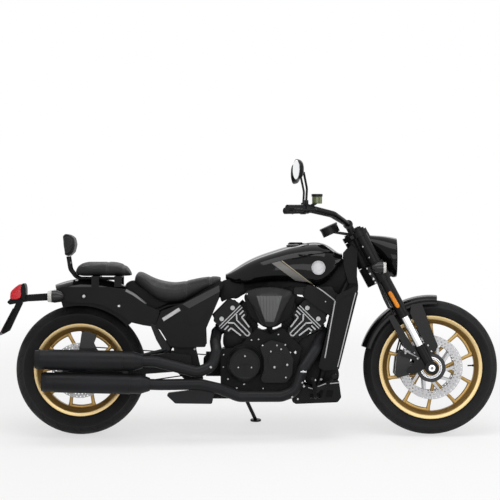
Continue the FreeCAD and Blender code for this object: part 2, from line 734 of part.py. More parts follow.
def frame():
    """Steel tube cradle: head tube, backbone, down tubes, seat rails and pivot plates."""
    head_low = LOWER_CLAMP[1] + HEAD_TUBE_GAP
    head_high = UPPER_CLAMP[0] - HEAD_TUBE_GAP
    pieces = [
        backbone(BACKBONE_R),
        rod(head_place(head_low), head_place(head_high), HEAD_TUBE_R),
        cross_rod(612, 664, -84, 84, 13),
        cross_rod(PIVOT[0], PIVOT[1], -ARM_Y - ARM_T / 2 - 4, ARM_Y + ARM_T / 2 + 4, PIVOT_R),
        cross_rod(572, 646, -84, 84, 12),
        cross_rod(560, 250, -RAIL_Y, RAIL_Y, RAIL_R),
    ]
    tunnel = tube([V(x, 0, z) for x, z in BACKBONE], TUNNEL_HALF - SEAT_GAP, 160)
    for x, z in TANK_PADS:
        pieces.append(cross_rod(x, z, -2 * TUNNEL_HALF, 2 * TUNNEL_HALF, 9).common(tunnel))
    for sign in (-1, 1):
        y = sign * RAIL_Y
        down = [V(p[0], sign * p[1], p[2]) for p in DOWN_TUBE]
        pieces.append(tube([head_place(660) + V(0, sign * 10, 0)] + down, RAIL_R, 60))
        pieces.append(seat_rail(sign, SEAT_RAIL_R))
        low = min(y - sign * PLATE_T / 2, y + sign * PLATE_T / 2)
        pieces.append(plate([(468, 318), (560, 232), (604, 262), (566, 420), (532, 540), (512, 634),
                             (418, 624),
                             (448, 520), (462, 410)], low, low + PLATE_T, 24))
        for x in (770, 985):
            pieces.append(block((x - 20, x + 20), (y - 12, y + 12), (195, 218 - SEAT_GAP)))
        ends = sorted((y, sign * (RAIL_Y + 30)))
        pieces.append(block((PEG_X - 24, PEG_X + 24), ends, (188, 202)))
    pieces.append(plate([(770, 205), (770, 176), (836, 170), (836, 205)], RAIL_Y,
                        STAND_Y - STAND_T - SEAT_GAP, 8))
    shape = joined(pieces)
    return shape.cut(rod(head_place(head_low - 20), head_place(head_high + 20), STEM_R + SEAT_GAP))


def swingarm():
    """Two box arms joined by a cross tube ahead of the tyre."""
    inner = ARM_Y - ARM_T / 2
    pieces = [cross_rod(420, 368, -inner - 4, inner + 4, 24)]
    outline = [(545, 398), (548, 338), (468, 316), (70, 286), (-44, 284), (-58, 300), (-58, 342),
               (-40, 358),
               (80, 366), (440, 408)]
    for sign in (-1, 1):
        ends = sorted((sign * inner, sign * (inner + ARM_T)))
        pieces.append(plate(outline, ends[0], ends[1], 14))
    pieces.append(plate([(404, 380), (410, 427), (440, 430), (452, 380)], -34, -24, 8))
    pieces.append(plate([(404, 380), (410, 427), (440, 430), (452, 380)], 24, 34, 8))
    shape = joined(pieces)
    far = inner + ARM_T + 10
    shape = shape.cut(cross_rod(PIVOT[0], PIVOT[1], -far, far, PIVOT_R + SEAT_GAP))
    return shape.cut(cross_rod(0, REAR_TYRE_R, -far, far, REAR_AXLE_R + SEAT_GAP))


def shock():
    """Single damper with its coil, between the swingarm and the seat rails."""
    low = V(426, 0, 410)
    high = V(567, 0, 632)
    run = high - low
    run.normalize()
    pieces = [cross_rod(low.x, low.z, -24 + SEAT_GAP, 24 - SEAT_GAP, 15),
              rod(low + run * 8, high - run * 2, 13),
              rod(low + run * 30, low + run * 44, 36), rod(high - run * 44, high - run * 30, 36)]
    coil_run = (high - low).Length - 88
    turns = 7
    for i in range(turns):
        middle = low + run * (44 + coil_run * (i + 0.5) / turns)
        pieces.append(rod(middle - run * 5, middle + run * 5, 33))
    return joined(pieces)


def rear_axle():
    """Solid rear axle with its nuts outside the arms."""
    half = ARM_Y + ARM_T / 2
    pieces = [cross_rod(0, 0, -half - 12, half + 12, REAR_AXLE_R)]
    for sign in (-1, 1):
        ends = sorted((sign * (half + SEAT_GAP), sign * (half + 10)))
        pieces.append(cross_rod(0, 0, ends[0], ends[1], 18))
    return moved(joined(pieces), 0, 0, REAR_TYRE_R)


def rear_pulley():
    """Belt pulley on the left of the rear hub, with round openings in its web."""
    y0, y1 = PULLEY_Y, PULLEY_Y + PULLEY_W
    bore = HUB_R + SEAT_GAP
    shape = turned([(bore, y0 + 6), (REAR_PULLEY_R - 18, y0 + 6), (REAR_PULLEY_R - 12, y0),
                    (REAR_PULLEY_R, y0),
                    (REAR_PULLEY_R, y1), (REAR_PULLEY_R - 12, y1), (REAR_PULLEY_R - 18, y1 - 6),
                    (bore, y1 - 6)])
    for i in range(BLADE_PAIRS):
        angle = math.radians(i * 360.0 / BLADE_PAIRS)
        middle = (bore + REAR_PULLEY_R - 18) / 2
        shape = shape.cut(cross_rod(middle * math.cos(angle), middle * math.sin(angle), y0 - 1, y1 + 1, 15))
    return shape


def belt_loop(grow, y):
    """Closed wire round both pulleys at one distance outside them."""
    ax, az = 0.0, REAR_TYRE_R
    bx, bz = DRIVE_PULLEY
    ra, rb = REAR_PULLEY_R + grow, DRIVE_PULLEY_R + grow
    slope = math.atan2(bz - az, bx - ax)
    spread = math.acos((ra - rb) / math.hypot(bx - ax, bz - az))

    def at(x, z, r, angle):
        return V(x + r * math.cos(angle), y, z + r * math.sin(angle))

    top_a, top_b = at(ax, az, ra, slope + spread), at(bx, bz, rb, slope + spread)
    low_a, low_b = at(ax, az, ra, slope - spread), at(bx, bz, rb, slope - spread)
    edges = [Part.LineSegment(top_a, top_b).toShape(), Part.Arc(top_b, at(bx, bz, rb, slope),
                                                                low_b).toShape(),
             Part.LineSegment(low_b, low_a).toShape(),
             Part.Arc(low_a, at(ax, az, ra, slope + math.pi), top_a).toShape()]
    return Part.Wire(edges)


def drive_belt():
    """Belt from the drive pulley to the rear pulley."""
    y = PULLEY_Y + 2
    width = V(0, PULLEY_W - 4, 0)
    outer = Part.Face(belt_loop(0.5 + BELT_T, y)).extrude(width)
    inner = Part.Face(belt_loop(0.5, y)).extrude(width)
    return outer.cut(inner)


def rear_caliper():
    """Rear caliper above the disc, on a bracket from the right arm."""
    body = mirrored(swing(caliper(REAR_DISC_R, REAR_DISC_Y, 74, 58), REAR_CALIPER_ANGLE))
    body = moved(body, 0, 0, REAR_TYRE_R)
    outer = REAR_DISC_Y + DISC_T + RUN_GAP + CALIPER_ARM
    inner_arm = ARM_Y - ARM_T / 2
    bracket = plate([(12, 470), (62, 478), (112, 372), (118, 340), (70, 336), (52, 390)],
                    -inner_arm + SEAT_GAP,
                    -outer + 1, 8)
    return joined([body, bracket])


# Engine

def bank(shape, front):
    """Shape modelled with its cylinder upright over the crank, tilted into its bank."""
    copy = shape.copy()
    copy.rotate(ORIGIN, ACROSS, BANK if front else -BANK)
    copy.translate(V(CRANK[0], 0, CRANK[1]))
    return copy


def raised(pairs, y0, height, radius=3.0):
    """Rib on the right side cover of a cylinder, from its upright outline."""
    return plate(pairs, y0 - height, y0, radius)


def rib(start, end, width=7.0):
    """Straight thin rib on the side cover, between two places in its upright outline."""
    run = V(end[0] - start[0], 0, end[1] - start[1])
    run.normalize()
    side_x, side_z = -run.z * width / 2, run.x * width / 2
    corners = [(start[0] + side_x, start[1] + side_z), (end[0] + side_x, end[1] + side_z),
               (end[0] - side_x, end[1] - side_z), (start[0] - side_x, start[1] - side_z)]
    return raised(corners, COVER_Y0 - COVER_T, RIB_H, 2.5)


def side_cover():
    """Right side cover of a cylinder: a shield with a flange bar, two bosses and a branching rib."""
    top = COVER_Y0 - COVER_T
    right = [(46, 340), (HEAD_HALF, 318), (HEAD_HALF, 256), (66, 226), (41, 214), (34, 160), (18, DECK)]
    left = [(-c, a) for c, a in reversed(right)]
    pieces = [plate(right + left, top, -HEAD_HALF_Y + 4, 8)]
    pieces.append(raised([(-HEAD_HALF, 264), (-HEAD_HALF, 281), (HEAD_HALF, 281), (HEAD_HALF, 264)], top,
                         RIB_H))
    pieces.append(raised([(-13, 243), (13, 243), (13, DECK + 3), (-13, DECK + 3)], top, RIB_H, 12))
    for sign in (-1, 1):
        pieces.append(cross_rod(sign * 38, 297, top - RIB_H - 3, top, 11))
        pieces.append(rib((sign * 38, 250), (sign * 66, 250)))
        pieces.append(rib((sign * 58, 233), (sign * 36, 233)))
        pieces.append(rib((sign * 37, 233), (sign * 29, 172)))
        pieces.append(rib((sign * 30, 262), (sign * 9, 239)))
    return pieces


def cylinder(front):
    """One cylinder: finned barrel, head, tapered cover, and the ribbed side cover on the right."""
    pieces = [block((-BARREL_HALF, BARREL_HALF), (-BARREL_HALF, BARREL_HALF), (DECK, HEAD_LOW))]
    fins = 6
    pitch = (HEAD_LOW - DECK) / fins
    for i in range(fins):
        z = DECK + (i + 0.35) * pitch
        pieces.append(block((-BARREL_HALF - 8, BARREL_HALF + 8), (-BARREL_HALF - 8, BARREL_HALF + 8),
                            (z, z + 5)))
    h = HEAD_HALF
    pieces.append(block((-h, h), (-HEAD_HALF_Y, HEAD_HALF_Y), (HEAD_LOW, HEAD_HIGH)))
    low = rounded([V(-h + 2, -64, HEAD_HIGH), V(h - 2, -64, HEAD_HIGH), V(h - 2, 64, HEAD_HIGH),
                   V(-h + 2, 64, HEAD_HIGH)], 16)
    high = rounded([V(-h + 16, -48, COVER_HIGH), V(h - 16, -48, COVER_HIGH), V(h - 16, 48, COVER_HIGH),
                    V(-h + 16, 48, COVER_HIGH)], 16)
    pieces.append(Part.makeLoft([low, high], True, True))
    pieces += side_cover()
    shape = joined(pieces)
    top = COVER_Y0 - COVER_T
    slot = plate([(-7, 250), (7, 250), (7, DECK + 10), (-7, DECK + 10)], top - RIB_H - 1, top, 6)
    return bank(shape.cut(slot), front)


def case_outline():
    """Side outline of the crankcase and gearbox, a little above its decks."""
    return [(690, 236), (742, 218), (1000, 218), (1052, 256), (1064, 340), (1089, 432), (994, 527),
            (932, 494),
            (870, 527), (775, 432), (690, 426)]


def crankcase():
    """Crankcase and gearbox in one casting, with cover flanges on both sides."""
    pieces = [plate(case_outline(), -CASE_HALF, CASE_HALF, 16)]
    for sign in (-1, 1):
        ends = sorted((sign * (CASE_HALF - 10), sign * (CASE_HALF + 6)))
        pieces.append(cross_rod(809, 353, ends[0], ends[1], 98))
        pieces.append(cross_rod(CRANK[0] + 14, CRANK[1] - 20, ends[0], ends[1], 92))
    for i in range(4):
        x = 880 + 26 * i
        pieces.append(block((x, x + 8), (-70, 70), (210, 220)))
    shape = joined(pieces)
    for front in (True, False):
        keep = bank(block((-90, 90), (-90, 90), (DECK - SEAT_GAP, 260)), front)
        shape = shape.cut(keep)
    x, z = DRIVE_PULLEY
    y0, y1 = PULLEY_Y + 1, PULLEY_Y + PULLEY_W
    housing = block((x - 24, 691), (30, 96), (z - 60, z + 60))
    shaft = cross_rod(x, z, 40, y0 + 1, 20)
    return joined([shape, housing, shaft, cross_rod(x, z, y0, y1, DRIVE_PULLEY_R)])


def round_cover(x, z, y0, depth, radius, lip):
    """Round domed cover on the right side: a stepped turning."""
    profile = [(0.0, 0.0), (radius, 0.0), (radius, -0.45 * depth), (radius - lip, -0.75 * depth),
               (radius - 2 * lip, -depth), (0.0, -depth)]
    return moved(turned(profile), x, y0, z)


def engine_covers():
    """Clutch and timing covers on the right, generator and pulley covers on the left."""
    y = -CASE_HALF - 6 - SEAT_GAP
    clutch = round_cover(809, 353, y, 50, 87, 8)
    timing = plate([(880, 262), (1010, 262), (1040, 300), (1046, 380), (1004, 452), (938, 470), (880, 440),
                    (902, 380), (902, 320)], y - 30, y, 20)
    timing_boss = cross_rod(962, 372, y - 38, y - 29, 40)
    right = joined([clutch, timing, timing_boss])
    generator = mirrored(round_cover(946, 369, y, 46, 88, 9))
    left_y = CASE_HALF + 6 + SEAT_GAP
    inspection = plate([(740, 250), (860, 262), (866, 330), (850, 430), (760, 440), (722, 400), (718, 300)],
                       left_y, left_y + 26, 22)
    left = joined([generator, inspection])
    pulley_y = PULLEY_Y + PULLEY_W + RUN_GAP
    guard = plate([(600, 318), (640, 290), (700, 288), (716, 330), (716, 372), (690, 402), (640, 400),
                   (602, 376)],
                  pulley_y, pulley_y + 14, 18)
    arm = block((690, 710), (CASE_HALF + SEAT_GAP, pulley_y + 2), (318, 386))
    return [right, left.fuse([guard, arm]).removeSplitter()]


def air_cleaner():
    """Wedge shaped air cleaner cover in the V, with a raised fluted middle, and the intake behind."""
    y = -178.0
    outer = plate([(805, 705), (865, 723), (932, 729), (992, 722), (1046, 706), (1003, 632), (962, 546),
                   (890, 546), (852, 632)], y, y + 60, 14)
    middle = plate([(868, 684), (988, 684), (948, 574), (908, 574)], y - 12, y + 1, 8)
    pieces = [outer, middle]
    for i in range(7):
        x = 886 + i * 14
        reach = 26 * abs(i - 3) / 3.0
        pieces.append(block((x, x + 5), (y - 16, y - 11), (588 + 2.6 * reach, 672)))
    duct = block((890, 974), (y + 50, 40), (600, 690))
    throttle = cross_rod(932, 648, -46, 62, 40)
    runners = []
    for front in (True, False):
        sign = -1 if front else 1
        stub = bank(rod(V(sign * (HEAD_HALF + SEAT_GAP), 0, 267), V(sign * 100, 0, 267), 24), front)
        runners.append(stub)
        runners.append(rod(V(932, 0, 648), V(932 - sign * 118, 0, 648.5), 21))
    return [joined(pieces + [duct, throttle] + runners), airbox()]


def backbone(radius):
    """Backbone tube from the steering head back over the engine."""
    return tube([head_place(625)] + [V(x, 0, z) for x, z in BACKBONE], radius, 160)


def airbox():
    """Air box under the tank, above the front head, hung from the backbone on two posts."""
    outline = [(1050, 726), (1236, 730), (1250, 704), (1242, 640), (1222, 604), (1146, 684), (1050, 692)]
    pieces = [plate(outline, -66, 66, 10)]
    for x in (1080, 1206):
        pieces.append(rod(V(x, 0, 718), V(x, 0, 800), 12))
    return joined(pieces).cut(backbone(BACKBONE_R + SEAT_GAP))


def radiator():
    """Slanted core between two side tanks, hung on the down tubes."""
    lean_back = math.degrees(math.atan2(88.0, 354.0))
    core = block((-36, 0), (-118, 118), (-165, 165))
    fins = 15
    for i in range(fins):
        z = -150 + i * 300.0 / (fins - 1)
        core = core.cut(block((-6, 1), (-104, 104), (z - 3, z + 3)))
    edge = SHROUD_Y - SEAT_GAP
    tanks = [block((-40, 2), (-edge, -118), (-160, 160)), block((-40, 2), (118, edge), (-160, 160))]
    lugs = []
    for z in (-110, 110):
        for sign in (-1, 1):
            ends = sorted((sign * 80, sign * 104))
            lugs.append(block((-58, -30), ends, (z - 12, z + 12)))
    shape = joined([core] + tanks + lugs)
    shape.rotate(ORIGIN, ACROSS, lean_back)
    shape.translate(V(1306, 0, 512))
    for sign in (-1, 1):
        ends = [V(x, sign * y, z) for x, y, z in DOWN_TUBE[1:3]]
        rail = rod(ends[0], ends[1], RAIL_R + SEAT_GAP)
        shape = shape.cut(rail)
    return shape


def radiator_shroud():
    """Side panels that flank the radiator."""
    panel = plate([(1251, 668), (1258, 690), (1352, 736), (1362, 700), (1268, 326), (1196, 322),
                   (1168, 336)],
                  -SHROUD_Y - 16, -SHROUD_Y, 10)
    recess = plate([(1266, 664), (1340, 706), (1334, 660), (1262, 372), (1224, 372)],
                   -SHROUD_Y - 20, -SHROUD_Y - 12, 8)
    return both(panel.cut(recess))


def belly_pan():
    """Chin fairing round the lower frame tubes, open above, with sunk slots and a saddle under the tubes."""
    outline = [(1035, 171), (1058, 158), (1262, 166), (1280, 190), (1268, 276), (1216, 270), (1138, 240),
               (1100, 254)]
    shape = plate(outline, -PAN_HALF, PAN_HALF, 12)
    inner = PAN_HALF - PAN_WALL
    inside = plate([(1000, 176), (1256, 176), (1262, 200), (1256, 300), (1000, 300)], -inner, inner, 6)
    shape = shape.cut(inside)
    for x in (1150, 1200):
        slot = plate([(x, 190), (x + 36, 190), (x + 44, 226), (x + 8, 226)], inner + 0.4 * PAN_WALL,
                     PAN_HALF + 5, 6)
        shape = shape.cut(both(slot))
    rail_low = DOWN_TUBE[3][2] - RAIL_R - SEAT_GAP
    saddle = block((1088, 1104), (-RAIL_Y - 8, RAIL_Y + 8), (170, rail_low))
    shape = shape.cut(block((PEG_X - 25, PEG_X + 25), (-PAN_HALF - 10, PAN_HALF + 10), (184, 206)))
    return joined([shape, saddle])


# Bodywork

def section(x, half, low, high, shoulder=0.62):
    """Rounded body section across the bike: crowned above and flatter below."""
    tall = high - low
    right = [(0.0, 1.0), (0.45, 0.95), (0.84, 0.78), (1.0, shoulder * 0.8), (0.93, 0.16), (0.6, 0.02),
             (0.0, 0.0)]
    points = [V(x, -half * a, low + tall * b) for a, b in right]
    points += [V(x, half * a, low + tall * b) for a, b in reversed(right[1:-1])]
    return closed_curve(points)


def fuel_tank():
    """Teardrop tank over the backbone, with the tunnel for it and the recess for the filler."""
    stations = [(714, 34, 768, 791), (760, 72, 745, 818), (834, 112, 741, 863), (930, 140, 752, 901),
                (1030, TANK_HALF, 752, 931), (1110, TANK_HALF, 742, 945), (1180, 146, 738, 946),
                (1236, 128, 776, 922), (1288, 92, 842, 893)]
    shape = skin([section(x, half, low, high) for x, half, low, high in stations])
    tunnel = [V(1500, 0, 868), V(1389, 0, 856)] + [V(x, 0, z) for x, z in BACKBONE]
    reach = TUNNEL_HALF
    shape = shape.cut(tube(tunnel, reach, 160))
    for i in range(len(tunnel) - 1):
        a, b = tunnel[i], tunnel[i + 1]
        slab = Part.Face(Part.makePolygon([a, b, b - V(0, 0, 160), a - V(0, 0, 160), a]))
        shape = shape.cut(moved(slab.extrude(V(0, 2 * reach, 0)), 0, -reach, 0))
    well = rod(V(FILLER[0], 0, FILLER[1] - 22), V(FILLER[0], 0, FILLER[1] + 60), FILLER_R + 5)
    knuckle_room = block((FILLER[0] + FILLER_R, FILLER[0] + FILLER_R + 6), (-10, 10),
                         (FILLER[1] - 1.2, FILLER[1] + 60))
    return shape.cut(well.fuse(knuckle_room))


def filler_neck():
    """Filler neck with the rim that the lid closes on."""
    x, z = FILLER
    neck = rod(V(x, 0, z - 22 + SEAT_GAP), V(x, 0, z - 1), FILLER_R + 5 - SEAT_GAP)
    neck = neck.cut(rod(V(x, 0, z - 20), V(x, 0, z), FILLER_R - 14))
    ear = block((x + FILLER_R - 2, x + FILLER_R + 3), (-12, 12), (z - 6, z + 8))
    pin = cross_rod(x + FILLER_R + 1, z + 5, -13, 13, 2.2)
    return joined([neck, ear]).cut(block((x, x + FILLER_R + 10), (-9, 9),
                                         (z - 1.2, z + 20))).fuse(pin).removeSplitter()


def filler_lid():
    """Filler lid with its knuckle at the front edge."""
    x, z = FILLER
    cap = rod(V(x, 0, z), V(x, 0, z + LID_T - 4), FILLER_R - 3).fuse(rod(V(x, 0, z + 7.9),
                                                                         V(x, 0, z + LID_T), FILLER_R - 9))
    knuckle = block((x + FILLER_R - 10, x + FILLER_R + 1), (-8, 8), (z + 1.5, z + 8))
    knuckle = knuckle.fuse(cross_rod(x + FILLER_R + 1, z + 5, -8, 8, 3.6))
    shape = joined([cap, knuckle])
    return shape.cut(cross_rod(x + FILLER_R + 1, z + 5, -20, 20, 2.2 + SEAT_GAP))


def rider_seat():
    """Scooped rider seat, on its base between the tank and the rear mudguard."""
    stations = [(266, 84, 748, 776), (300, 118, 724, 801), (344, 146, 690, 778), (400, 158, 656, 757),
                (456, 154, 650, 748), (520, 136, 662, 755), (589, 106, 700, 770), (650, 84, 730, 777),
                (690, 62, 752, 780)]
    shape = skin([section(*row, shoulder=0.75) for row in stations])
    for sign in (-1, 1):
        shape = shape.cut(seat_rail(sign, SEAT_RAIL_R + SEAT_GAP))
    return shape


def pillion_seat():
    """Passenger pad on its carrier."""
    stations = [(-24, 76, 796, 816), (0, 106, 783, 845), (60, 118, 782, 852), (130, 118, 782, 853),
                (190, 110, 782, 849), (232, 92, 783, 828), (250, 74, 786, 800)]
    return skin([section(*row, shoulder=0.75) for row in stations])


def backrest():
    """Passenger back pad."""
    outline = [(-86, 985), (-74, 997), (-56, 992), (-32, 972), (-24, 938), (-32, 902), (-56, 879),
               (-76, 886)]
    pad = plate(outline, -92, 92, 9)
    ends = plate([(-80, 975), (-58, 980), (-40, 962), (-36, 938), (-42, 910), (-58, 892), (-72, 896)], -106,
                 106, 8)
    return joined([pad, ends])


def seat_carrier():
    """Two bridges from the struts under the pillion pad, and the backrest bar."""
    top = 782 - SEAT_GAP
    pieces = []
    for x0, x1 in ((58, 95), (170, 205)):
        pieces.append(block((x0, x1), (-STRUT_Y - STRUT_T, STRUT_Y + STRUT_T), (top - 6, top)))
        for sign in (-1, 1):
            ends = sorted((sign * STRUT_Y, sign * (STRUT_Y + STRUT_T)))
            pieces.append(block((x0, x1), ends, (729 + SEAT_GAP, top - 2)))
    for sign in (-1, 1):
        y = sign * 72
        pieces.append(tube([V(190, y, 769), V(-18, y, 771), V(-52, y, 815), V(-62, y, 879 - SEAT_GAP)], 7,
                           40))
    pieces.append(rod(V(-57, -72, 846), V(-57, 72, 846), 6))
    return joined(pieces)


def rear_fender():
    """Deep rear mudguard."""
    guard = arched_guard(REAR_FENDER_R - 18, REAR_FENDER_HALF, 92, 48, 64)
    return moved(guard, FENDER_CENTRE[0], 0, FENDER_CENTRE[1])


def fender_struts():
    """Side struts that carry the mudguard, the pillion bridges and the docking bolts."""
    outline = [(-131, 704), (-87, 729), (50, 729), (148, 729), (246, 716), (281, 689), (330, 640),
               (393, 611),
               (369, 533), (310, 542), (246, 557), (197, 596), (124, 635), (65, 650), (1, 650), (-77, 658),
               (-131, 650)]
    strut = plate(outline, STRUT_Y, STRUT_Y + STRUT_T, 9)
    pieces = [strut]
    for x, z in DOCKING:
        pieces.append(cross_rod(x, z, STRUT_Y + STRUT_T - 1, STRUT_Y + STRUT_T + DOCK_L, DOCK_R))
        pieces.append(cross_rod(x, z, REAR_FENDER_HALF - 1, STRUT_Y + 1, DOCK_R))
    one = joined(pieces)
    guard = moved(arched_guard(REAR_FENDER_R - 18, REAR_FENDER_HALF, 92, 48, 64), FENDER_CENTRE[0], 0,
                  FENDER_CENTRE[1])
    return both(one.cut(guard))


def side_covers():
    """Covers below the rider seat, with a raised trim pill and posts to the frame plates."""
    outline = [(502, 649), (693, 747), (680, 668), (616, 519), (619, 436), (492, 434), (444, 441),
               (395, 519),
               (370, 534), (400, 612)]
    low = COVER_Y
    panel = plate(outline, -low - 12, -low, 10)
    inset = plate([(512, 636), (668, 718), (660, 668), (604, 560), (540, 540), (520, 600)], -low - 15,
                  -low - 11, 14)
    trim = plate([(405, 566), (420, 582), (486, 630), (494, 622), (470, 600), (416, 562)], -low - 16,
                 -low - 11, 6)
    posts = []
    for x, z in ((480, 520), (548, 440)):
        posts.append(cross_rod(x, z, -low - 1, -RAIL_Y - PLATE_T / 2 - SEAT_GAP, 8))
    return both(joined([panel, inset, trim] + posts))


def neck_covers():
    """Side panels over the steering neck."""
    back = WHEELBASE
    panel = plate([(back - 430, 838), (back - 428, 896), (back - 390, 938), (back - 362, 906),
                   (back - 364, 746),
                   (back - 406, 746)], -66, -60, 10)
    post = cross_rod(back - 412, 842, -61, -BACKBONE_R + 2, 7)
    return both(joined([panel, post.cut(backbone(BACKBONE_R + SEAT_GAP))]))


def wing_panels():
    """Panels below the front of the tank, on bosses outside the down tubes."""
    panel = plate([(1113, 742), (1258, 700), (1276, 664), (1250, 600), (1234, 581), (1141, 644),
                   (1094, 683)],
                  -WING_Y - 6, -WING_Y, 12)
    x, y, z = DOWN_TUBE[1]
    boss = cross_rod(x - 3, z - 13, -WING_Y - 1, -RAIL_Y - 6, 9)
    lower = [V(a, -b, c) for a, b, c in DOWN_TUBE[:3]]
    return both(joined([panel, boss.cut(tube(lower, RAIL_R + SEAT_GAP, 60))]))


# Exhaust

def port_place(sign):
    """Middle of the elbow outside a head's exhaust port, ahead of the front head or behind the rear one."""
    point = Part.Vertex(V(sign * PORT_OUT, -32, 267))
    return bank(point, sign > 0).Point


def before_nose(ends, reach):
    """Place on a muffler's axis ahead of its nose."""
    tail = V(ends[0][0], MUFFLER_Y, ends[0][1])
    nose = V(ends[1][0], MUFFLER_Y, ends[1][1])
    run = nose - tail
    run.normalize()
    return nose + run * reach


def exhaust_pipes():
    """Header pipes from both heads, and the collector box under them."""
    front = tube([port_place(1), V(1150, -152, 420), V(1090, -198, 330), V(1052, -200, 222),
                  V(985, -200, 198),
                  V(780, -206, 198), V(684, -230, 238), V(590, -252, 261), before_nose(LOWER_MUFFLER, 60),
                  before_nose(LOWER_MUFFLER, SEAT_GAP)], PIPE_R, 60)
    rear = tube([port_place(-1), V(664, -170, 462), V(672, -216, 420), V(650, -238, 346), V(580, -252, 318),
                 before_nose(UPPER_MUFFLER, 60), before_nose(UPPER_MUFFLER, SEAT_GAP)], PIPE_R, 55)
    ports = []
    for sign in (-1, 1):
        flange = rod(V(sign * (HEAD_HALF + SEAT_GAP), -32, 267), V(sign * (HEAD_HALF + 10), -32, 267),
                     PIPE_R + 5)
        elbow = rod(V(sign * (HEAD_HALF + SEAT_GAP), -32, 267), V(sign * PORT_OUT, -32, 267), PIPE_R)
        ports.append(bank(joined([flange, elbow, Part.makeSphere(PIPE_R + 0.5,
                                                                 V(sign * PORT_OUT, -32, 267))]), sign > 0))
    box = plate([(420, 214), (444, 192), (472, 166), (650, 164), (662, 222), (640, 240), (600, 236)], -240,
                -168, 10)
    return [joined([front, ports[1], box]), joined([rear, ports[0]])]


def muffler(ends):
    """Long round muffler with a stepped sleeve and an open tail."""
    tail = V(ends[0][0], MUFFLER_Y, ends[0][1])
    nose = V(ends[1][0], MUFFLER_Y, ends[1][1])
    run = tail - nose
    length = run.Length
    run.normalize()
    cone = Part.makeCone(PIPE_R + 5, MUFFLER_R - 3, 44, nose, run)
    body = rod(nose + run * 44, tail - run * 24, MUFFLER_R - 3)
    sleeve = rod(nose + run * 96, nose + run * (length - 64), MUFFLER_R)
    cap = Part.makeCone(MUFFLER_R, MUFFLER_R - 6, 24, tail - run * 24, run)
    shape = joined([cone, body, sleeve, cap])
    shape = shape.cut(rod(tail - run * 70, tail + run * 5, 30))
    return shape


def mufflers():
    """Upper and lower mufflers, and the hanger from the right strut."""
    face = -STRUT_Y - STRUT_T - SEAT_GAP
    hanger = plate([(340, 560), (380, 534), (448, 424), (414, 406), (376, 470)], face - 7, face, 8)
    arm = rod(V(424, face - 5, 424), V(300, MUFFLER_Y + 30, 396), 8)
    upper = joined([muffler(UPPER_MUFFLER), arm, hanger])
    lower = muffler(LOWER_MUFFLER)
    link = []
    for x in (-60, 230):
        link.append(plate([(x - 14, 334), (x + 14, 334), (x + 14, 306), (x - 14, 306)], MUFFLER_Y + 6,
                          MUFFLER_Y + 12, 3))
    return joined([upper, lower] + link)


# Lamps and plate carrier at the tail

def plate_bracket():
    """Arm behind the struts with the lamp perch, the hanger and a blank plate."""
    clamp = block((-148, -131 - SEAT_GAP), (-STRUT_Y - STRUT_T, STRUT_Y + STRUT_T), (660, 698))
    arm = plate([(-140, 698), (-140, 662), (-262, 656), (-352, 640), (-366, 652), (-348, 672), (-262, 690)],
                -20, 20, 6)
    hanger = plate([(-318, 656), (-286, 652), (-352, 512), (-384, 494), (-392, 500), (-344, 600)], -14, 14,
                   5)
    sheet = block((-2, 2), (-88, 88), (-75, 75))
    sheet = moved(swing(sheet, -28), -364, 0, 556)
    return joined([clamp, arm, hanger, sheet])


def tail_light():
    """Tail lamp on the arm, and the reflector under the plate."""
    lamp = plate([(-306, 738), (-284, 743), (-262, 704), (-258, 692), (-304, 684)], -46, 46, 6)
    foot = plate([(-298, 690), (-270, 696), (-270, 688.7), (-298, 682.9)], -18, 18, 1)
    return joined([lamp, foot])


def rear_indicators():
    """Rear indicators on the struts, facing back."""
    pod = lamp_pod(78, 58, 54)
    pod.rotate(ORIGIN, V(0, 0, 1), 180)
    pod = moved(pod, -112, 172, 684)
    stalk = cross_rod(-104, 686, STRUT_Y + STRUT_T + SEAT_GAP, 160, 9)
    return both(joined([pod, stalk]))


# Rider controls below


def foot_pegs():
    """Rider pegs on arms from the cradle, and folded passenger pegs."""
    start = RAIL_Y + 30 + SEAT_GAP
    arm = tube([V(PEG_X, -start, 195), V(PEG_X, -222, 195), V(1140, -240, 285), V(1138, -252, 286)], 9, 20)
    peg = cross_rod(1138, 286, -350, -246, 15)
    return both(joined([arm, peg]))


def foot_levers():
    """Brake pedal on the right and shift lever on the left, on the peg arms."""
    levers = []
    for sign in (-1, 1):
        y = sign * 222
        sleeve = cross_rod(PEG_X + 4, 232, min(y - 10, y + 10), max(y - 10, y + 10), 16)
        shaft = tube([V(PEG_X + 10, y, 232), V(1200, y, 246), V(1240, sign * 236, 296)], 7, 30)
        pad = cross_rod(1242, 300, min(sign * 228, sign * 290), max(sign * 228, sign * 290), 12)
        lever = joined([sleeve, shaft, pad])
        arm = tube([V(PEG_X, y * 0.5, 195), V(PEG_X, y, 195), V(1140, sign * 240, 285),
                    V(1138, sign * 252, 286)],
                   9 + SEAT_GAP, 20)
        levers.append(lever.cut(arm))
    return levers


# Side stand


def stand_bolt():
    """Pivot bolt of the side stand, fixed in the frame."""
    return rod(STAND_PIVOT - STAND_AXIS * 34, STAND_PIVOT + STAND_AXIS * 20, STAND_BOLT_R)


